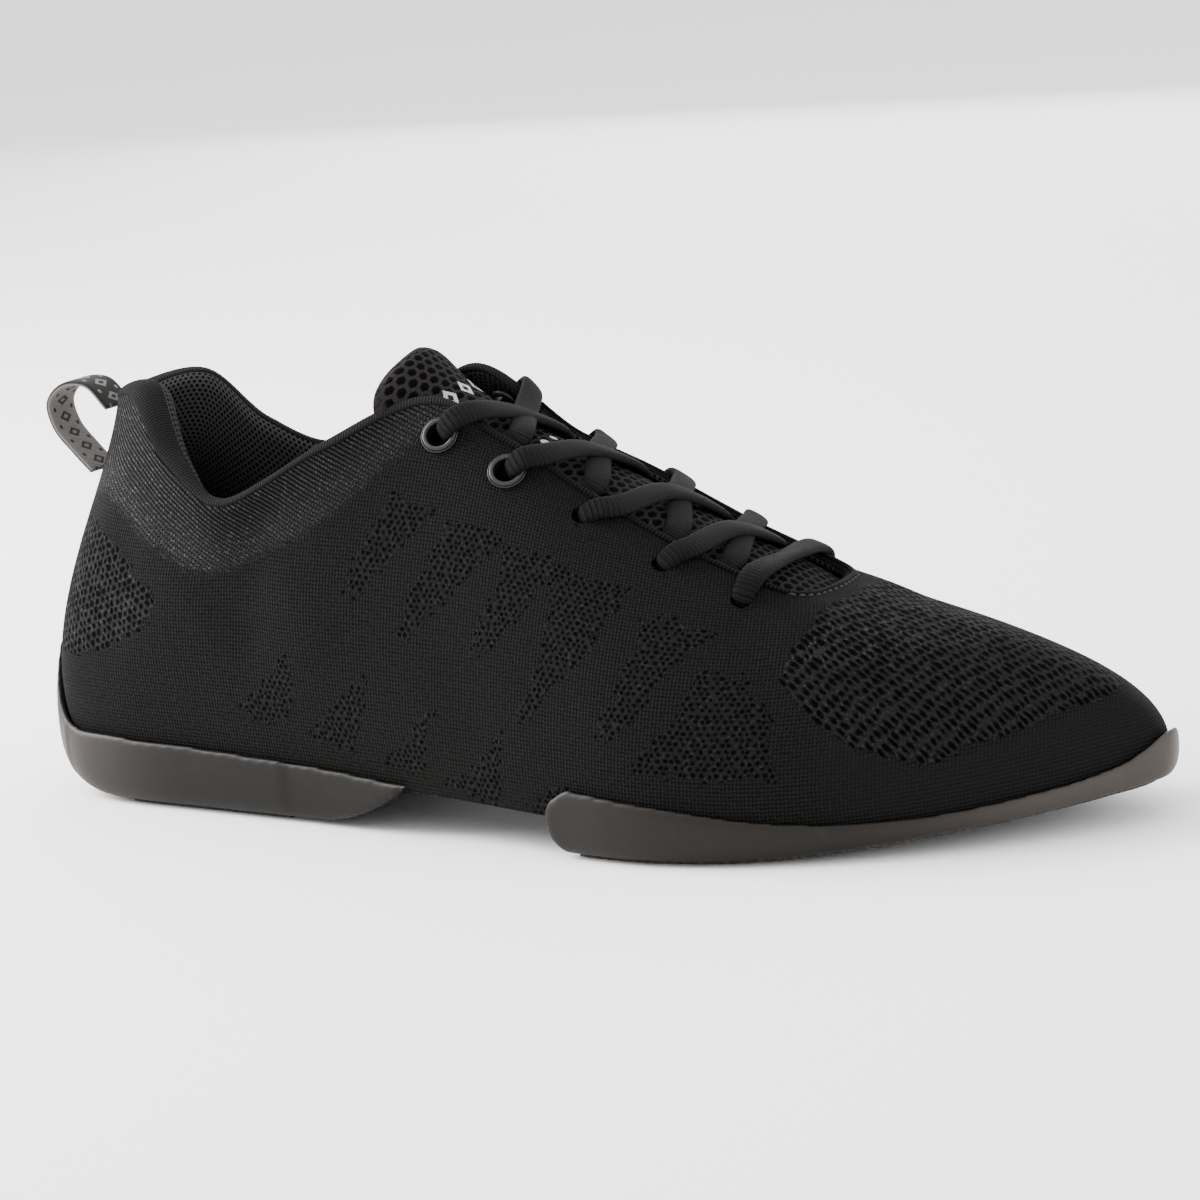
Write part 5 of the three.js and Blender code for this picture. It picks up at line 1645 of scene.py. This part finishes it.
ends = [hole_at(1, LATERAL), hole_at(1, MEDIAL)]
edges = [throat_point(hole["point"][0], hole["side"]) for hole in ends]
overs = [point + normal * (LACE_LIFT + 0.2) for point, normal in edges]
middle = (overs[0] + overs[1]) / 2
middle[2] = max(middle[2] + 0.2, tongue_top(middle[0])[2] + LACE_LIFT + 0.3)
bar = hole_stops(ends[0], overs[0])
bar += [stop(overs[0], edges[0][1]), stop(middle, UP), stop(overs[1], edges[1][1])]
bar += hole_stops(ends[1], overs[1])[::-1]
points, faces, runs = joined([lace_sweep(bar, "bar")])
make_piece("lace_toe_bar", points, faces, LACE, "lace", ["lace_bar"], run=runs)
print("lace lengths, mm:", lace_lengths, "in all", sum(lace_lengths.values()))

# %% [markdown]
# ## Eyelets
# The two top rows have pressed metal rings, dark gunmetal, with a flat flange. Their colour and
# gloss vary a little at random. Each is turned from one profile.

# %% Eyelet material and pieces
metal = Paint("gunmetal")
place_3d = metal.place()
wear = metal.noise(place_3d, 500.0, 3.0)
metal_colour = metal.blend(wear, (0.017, 0.0167, 0.0164), (0.030, 0.0294, 0.0289))
GUNMETAL = metal.finish(metal_colour, wear * 0.16 + 0.3, metal.bump(wear, 0.02), Metallic=0.75)

EYELET_FLANGE = 4.5
EYELET_BACK = 2.3 * EYELET_SEAT  # the back flange's depth below the wall
barrel = EYELET_HOLE + EYELET_SHEET
under_wall = -WALL - EYELET_BACK
top = EYELET_SEAT
flange_middle = (EYELET_HOLE + EYELET_FLANGE) / 2
half_flange = (EYELET_FLANGE - EYELET_HOLE) / 2
bulge = np.linspace(math.pi, 0, 12)
eyelet_profile = [(EYELET_HOLE, under_wall - EYELET_SHEET)]
for angle in bulge:
    on = math.copysign(abs(math.cos(angle)) ** 0.7, math.cos(angle))
    eyelet_profile.append((flange_middle - 0.2 + (half_flange - 0.2) * on,
                           top + EYELET_SHEET * math.sin(angle) ** 0.6))
for inset, up in ((0.36, -0.15), (0.3, 0.28), (0.12, 0.3), (0, 0.12), (0, -0.1)):
    eyelet_profile.append((EYELET_FLANGE - inset, top + up))
eyelet_profile += [(barrel, top), (barrel, under_wall)]
eyelet_profile += [(flange_middle + half_flange * 0.8, under_wall),
                   (flange_middle + half_flange * 0.8, under_wall - EYELET_SHEET)]
EYELET_TURN = 56
spin = np.arange(EYELET_TURN) * math.tau / EYELET_TURN
for hole in holes:
    if not hole["eyelet"]:
        continue
    side_way, up_way = hole_ways(hole)
    circle = np.cos(spin)[:, None] * side_way + np.sin(spin)[:, None] * up_way
    rings = np.array([hole["point"] + circle * r + hole["normal"] * h for r, h in eyelet_profile])
    rings = np.concatenate([rings, rings[:1]])
    side_name = "lateral" if hole["side"] < 0 else "medial"
    node = f"eyelet_{side_name}_{hole['row']}"
    make_piece(f"ring_{side_name}_{hole['row']}", rings.reshape(-1, 3),
               grid_faces(len(rings), EYELET_TURN, True).tolist(), GUNMETAL, "eyelet_metal", [node])

# %% [markdown]
# ## Pull loop
# A flat woven tape is folded back on itself and sewn to the heel. Its outer face is dark with a
# pale pattern, and its inner face is pale with the same pattern dark, because a woven pattern
# shows its other yarn on the back. Here the pattern is a plain row of diamonds and dots.

# %% Loop material
PATTERN_PITCH = 4.6
tape_paint = Paint("loop_tape")
_, loop_run, loop_across, loop_out = tape_paint.attribute("run")
place_3d = tape_paint.place()
weave = (loop_run / 0.5).wave() * 0.5 + (loop_across / 0.5).wave() * 0.5
bead_u = ((loop_run / PATTERN_PITCH).fraction() - 0.5).size() * PATTERN_PITCH / 1.7
bead_v = loop_across.size() / 2.6
bead_sum = bead_u + bead_v
bead = 1 - bead_sum.between(0.86, 1.0)
bead_core = 1 - bead_sum.between(0.36, 0.48)
spot_u = ((loop_run / PATTERN_PITCH + 0.5).fraction() - 0.5) * PATTERN_PITCH
spot_v = loop_across.size() - 3.6
spot = 1 - ((spot_u * spot_u + spot_v * spot_v) ** 0.5).between(0.5, 0.65)
pattern = (bead - bead_core).most(spot)
pale_side = 1 - loop_out.between(-0.15, 0.15)
pale = pale_side + pattern * (1 - pale_side * 2)
edge_band = loop_across.size().between(4.7, 5.0)
pale = pale * (1 - edge_band) + pale_side * edge_band
loop_colour = tape_paint.blend(pale, (0.008, 0.0077, 0.0075), (0.150, 0.139, 0.128))
# Painted shade between the threads of the weave.
loop_colour = tape_paint.blend((1 - weave) * 0.3, loop_colour, (0.01, 0.009, 0.008))
LOOP = tape_paint.finish(loop_colour, 0.85, tape_paint.bump(weave, 0.12), Specular_IOR_Level=0.2)

# %% Loop piece
LOOP_WIDTH, LOOP_TAPE, LOOP_REACH, LOOP_DROP = 11, 1.3, 16, 15
LOOP_CLIMB = 0.97
upper_end, upper_normal = on_last(0.0, LATERAL, LOOP_CLIMB)
height = upper_end[2] - last_point(0.0, LATERAL, 0.5)[2]
lower_end, lower_normal = on_last(0.0, LATERAL, LOOP_CLIMB - 0.5 * LOOP_DROP / height)
seat = LOOP_TAPE / 2 + 0.3
a = upper_end + upper_normal * seat
b = lower_end + lower_normal * seat
backward = unit(np.array([-1, 0, 0.35]))
rising = unit(np.array([0.35, 0, 1]))
LOOP_STOPS = [(0, 0), (0.45, 0.22), (0.85, 0.05), (1, -0.3), (0.8, -0.65), (0.4, -0.9)]
loop_stops = [a + backward * LOOP_REACH * out + rising * LOOP_DROP * rise for out, rise in LOOP_STOPS]
loop_stops.append(b)
loop_path = smooth_path(loop_stops, 110)
along = unit(np.gradient(loop_path, axis=0))
loop_face = np.stack([-along[:, 2], 0 * along[:, 0], along[:, 0]], -1)
loop_face *= np.sign(loop_face[len(loop_face) // 4] @ np.array([-0.3, 0, 1]))
tape_outline = oval(28, 7)
tube_piece("heel_loop", loop_path, loop_face, LOOP_WIDTH, LOOP_TAPE, tape_outline, LOOP,
           slot="loop_tape", stands_for=["pull_loop"])
print("loop tape, mm:", round(path_length(loop_path)))

# %% [markdown]
# ## Seams
# A thin cord of overlocking runs along both edges of the throat, and a line of chain stitch
# crosses in front of it. The stitches are small separate beads of thread, joined in one mesh.


# %% Seam helpers
def sheet_line(places, sides, down, lift):
    """Points beside the opening's edge at a distance down from it."""
    edge = last_point(places, sides, 1.0)
    length = np.linalg.norm(last_point(places, sides, 0.75) - edge, axis=-1) / 0.25
    climb = 1 - down / length
    out, faces = [], []
    for place, side, c in zip(places, sides, climb):
        point, normal = on_last(float(place), int(side), float(c))
        out.append(point + normal * lift)
        faces.append(normal)
    return np.array(out), np.array(faces)


def throat_line(first_place, down, lift, count=90):
    """From one side of the throat round its front to the other."""
    half = np.linspace(first_place, LAST_ROW - 0.02, count)
    places = np.concatenate([half, half[::-1]])
    sides = np.concatenate([np.full(count, LATERAL), np.full(count, MEDIAL)])
    return sheet_line(places, sides, down, lift)


thread = Paint("black_thread")
_, thread_run, _, _ = thread.attribute("run")
twist = (thread_run / 0.9).wave()
# Painted shade in the grooves of the twist.
thread_colour = thread.blend(twist, (0.0010, 0.0010, 0.0010), (0.0058, 0.0055, 0.0055))
THREAD = thread.finish(thread_colour, 0.75, thread.bump(twist, 0.1), Specular_IOR_Level=0.04)
stitch_paint = Paint("stitch_thread")
_, thread_run, _, _ = stitch_paint.attribute("run")
twist = (thread_run / 0.5).wave()
# Painted shade in the grooves of the twist.
stitch_colour = stitch_paint.blend(twist, (0.008, 0.0077, 0.0076), (0.024, 0.0232, 0.0228))
STITCH = stitch_paint.finish(stitch_colour, 0.7, stitch_paint.bump(twist, 0.06), Specular_IOR_Level=0.2)

# %% Throat cord and chain stitch
CORD_STEPS, STITCH_STEPS = 300, 2000
BEAD_STEPS, BEAD_CORNERS = 9, 8
STITCH_PITCH = 2.3
cord_points, cord_faces = throat_line(5.6, 0.9, 0.25)
tube_piece("throat_cord", even(cord_points, CORD_STEPS), resample(cord_faces, CORD_STEPS), 1.5, 1.1,
           oval(10, 2), THREAD, slot="lace")

stitch_points, stitch_faces = throat_line(9.2, 1.9, 0.1, 60)
stitch_path = even(stitch_points, STITCH_STEPS)
stitch_face = resample(stitch_faces, STITCH_STEPS)
stitch_count = int(path_length(stitch_path) / STITCH_PITCH)
beads = []
swell = np.sin(np.linspace(0.12, math.pi - 0.12, BEAD_STEPS))
for k in range(stitch_count):
    first = int(k * STITCH_STEPS / stitch_count)
    steps = np.linspace(first, first + 0.82 * STITCH_STEPS / stitch_count, BEAD_STEPS).astype(int)
    bead_path = stitch_path[steps] + stitch_face[steps] * (swell * 0.35 - 0.2)[:, None]
    beads.append(sweep(bead_path, stitch_face[steps], 0.75 * swell**0.6, 0.6 * swell**0.6,
                       oval(BEAD_CORNERS, 2)))
points, faces, runs = joined(beads)
make_piece("chain_stitch", points, faces, STITCH, "lace", run=runs)

# %% [markdown]
# ## Treads
# The two thin pads that meet the floor are already the right shape, so the CAD nodes stay. They
# get a rubber with a fine diamond tread in its height.

# %% Tread material
TREAD_PITCH = 2.4
rubber = Paint("tread_rubber")
place_3d = rubber.place()
tread_x, tread_y, _ = rubber.split(place_3d)
lines_a = ((tread_x + tread_y) / (TREAD_PITCH * MM)).wave()
lines_b = ((tread_x - tread_y) / (TREAD_PITCH * MM)).wave()
tread_height = lines_a.least(lines_b).between(0.1, 0.35)
dust = rubber.noise(place_3d, 90.0, 4.0, 0.6)
# Painted shade in the tread's grooves, and dust that lightens it at random.
rubber_colour = rubber.blend(tread_height * 0.6 + dust * 0.3, (0.008, 0.008, 0.008),
                             (0.035, 0.033, 0.031))
RUBBER = rubber.finish(rubber_colour, dust * 0.2 + 0.6, rubber.bump(tread_height, 0.4))
for name in ("tread_heel", "tread_forefoot"):
    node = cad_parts[name]
    node.data.materials.clear()
    node.data.materials.append(RUBBER)
    print(name, "has the tread rubber")

# %% [markdown]
# ## Record of sizes
# The box of the solids and the box of the dressed shoe are kept side by side; the size of the dressed shoe
# is printed.

bpy.context.view_layer.update()
boxes = {"cad": [list(corner) for corner in CAD_BOX], "visual": [list(corner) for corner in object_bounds()]}
print("box of the dressed shoe, mm:", [round((b - a) / MM) for a, b in zip(*boxes["visual"])])
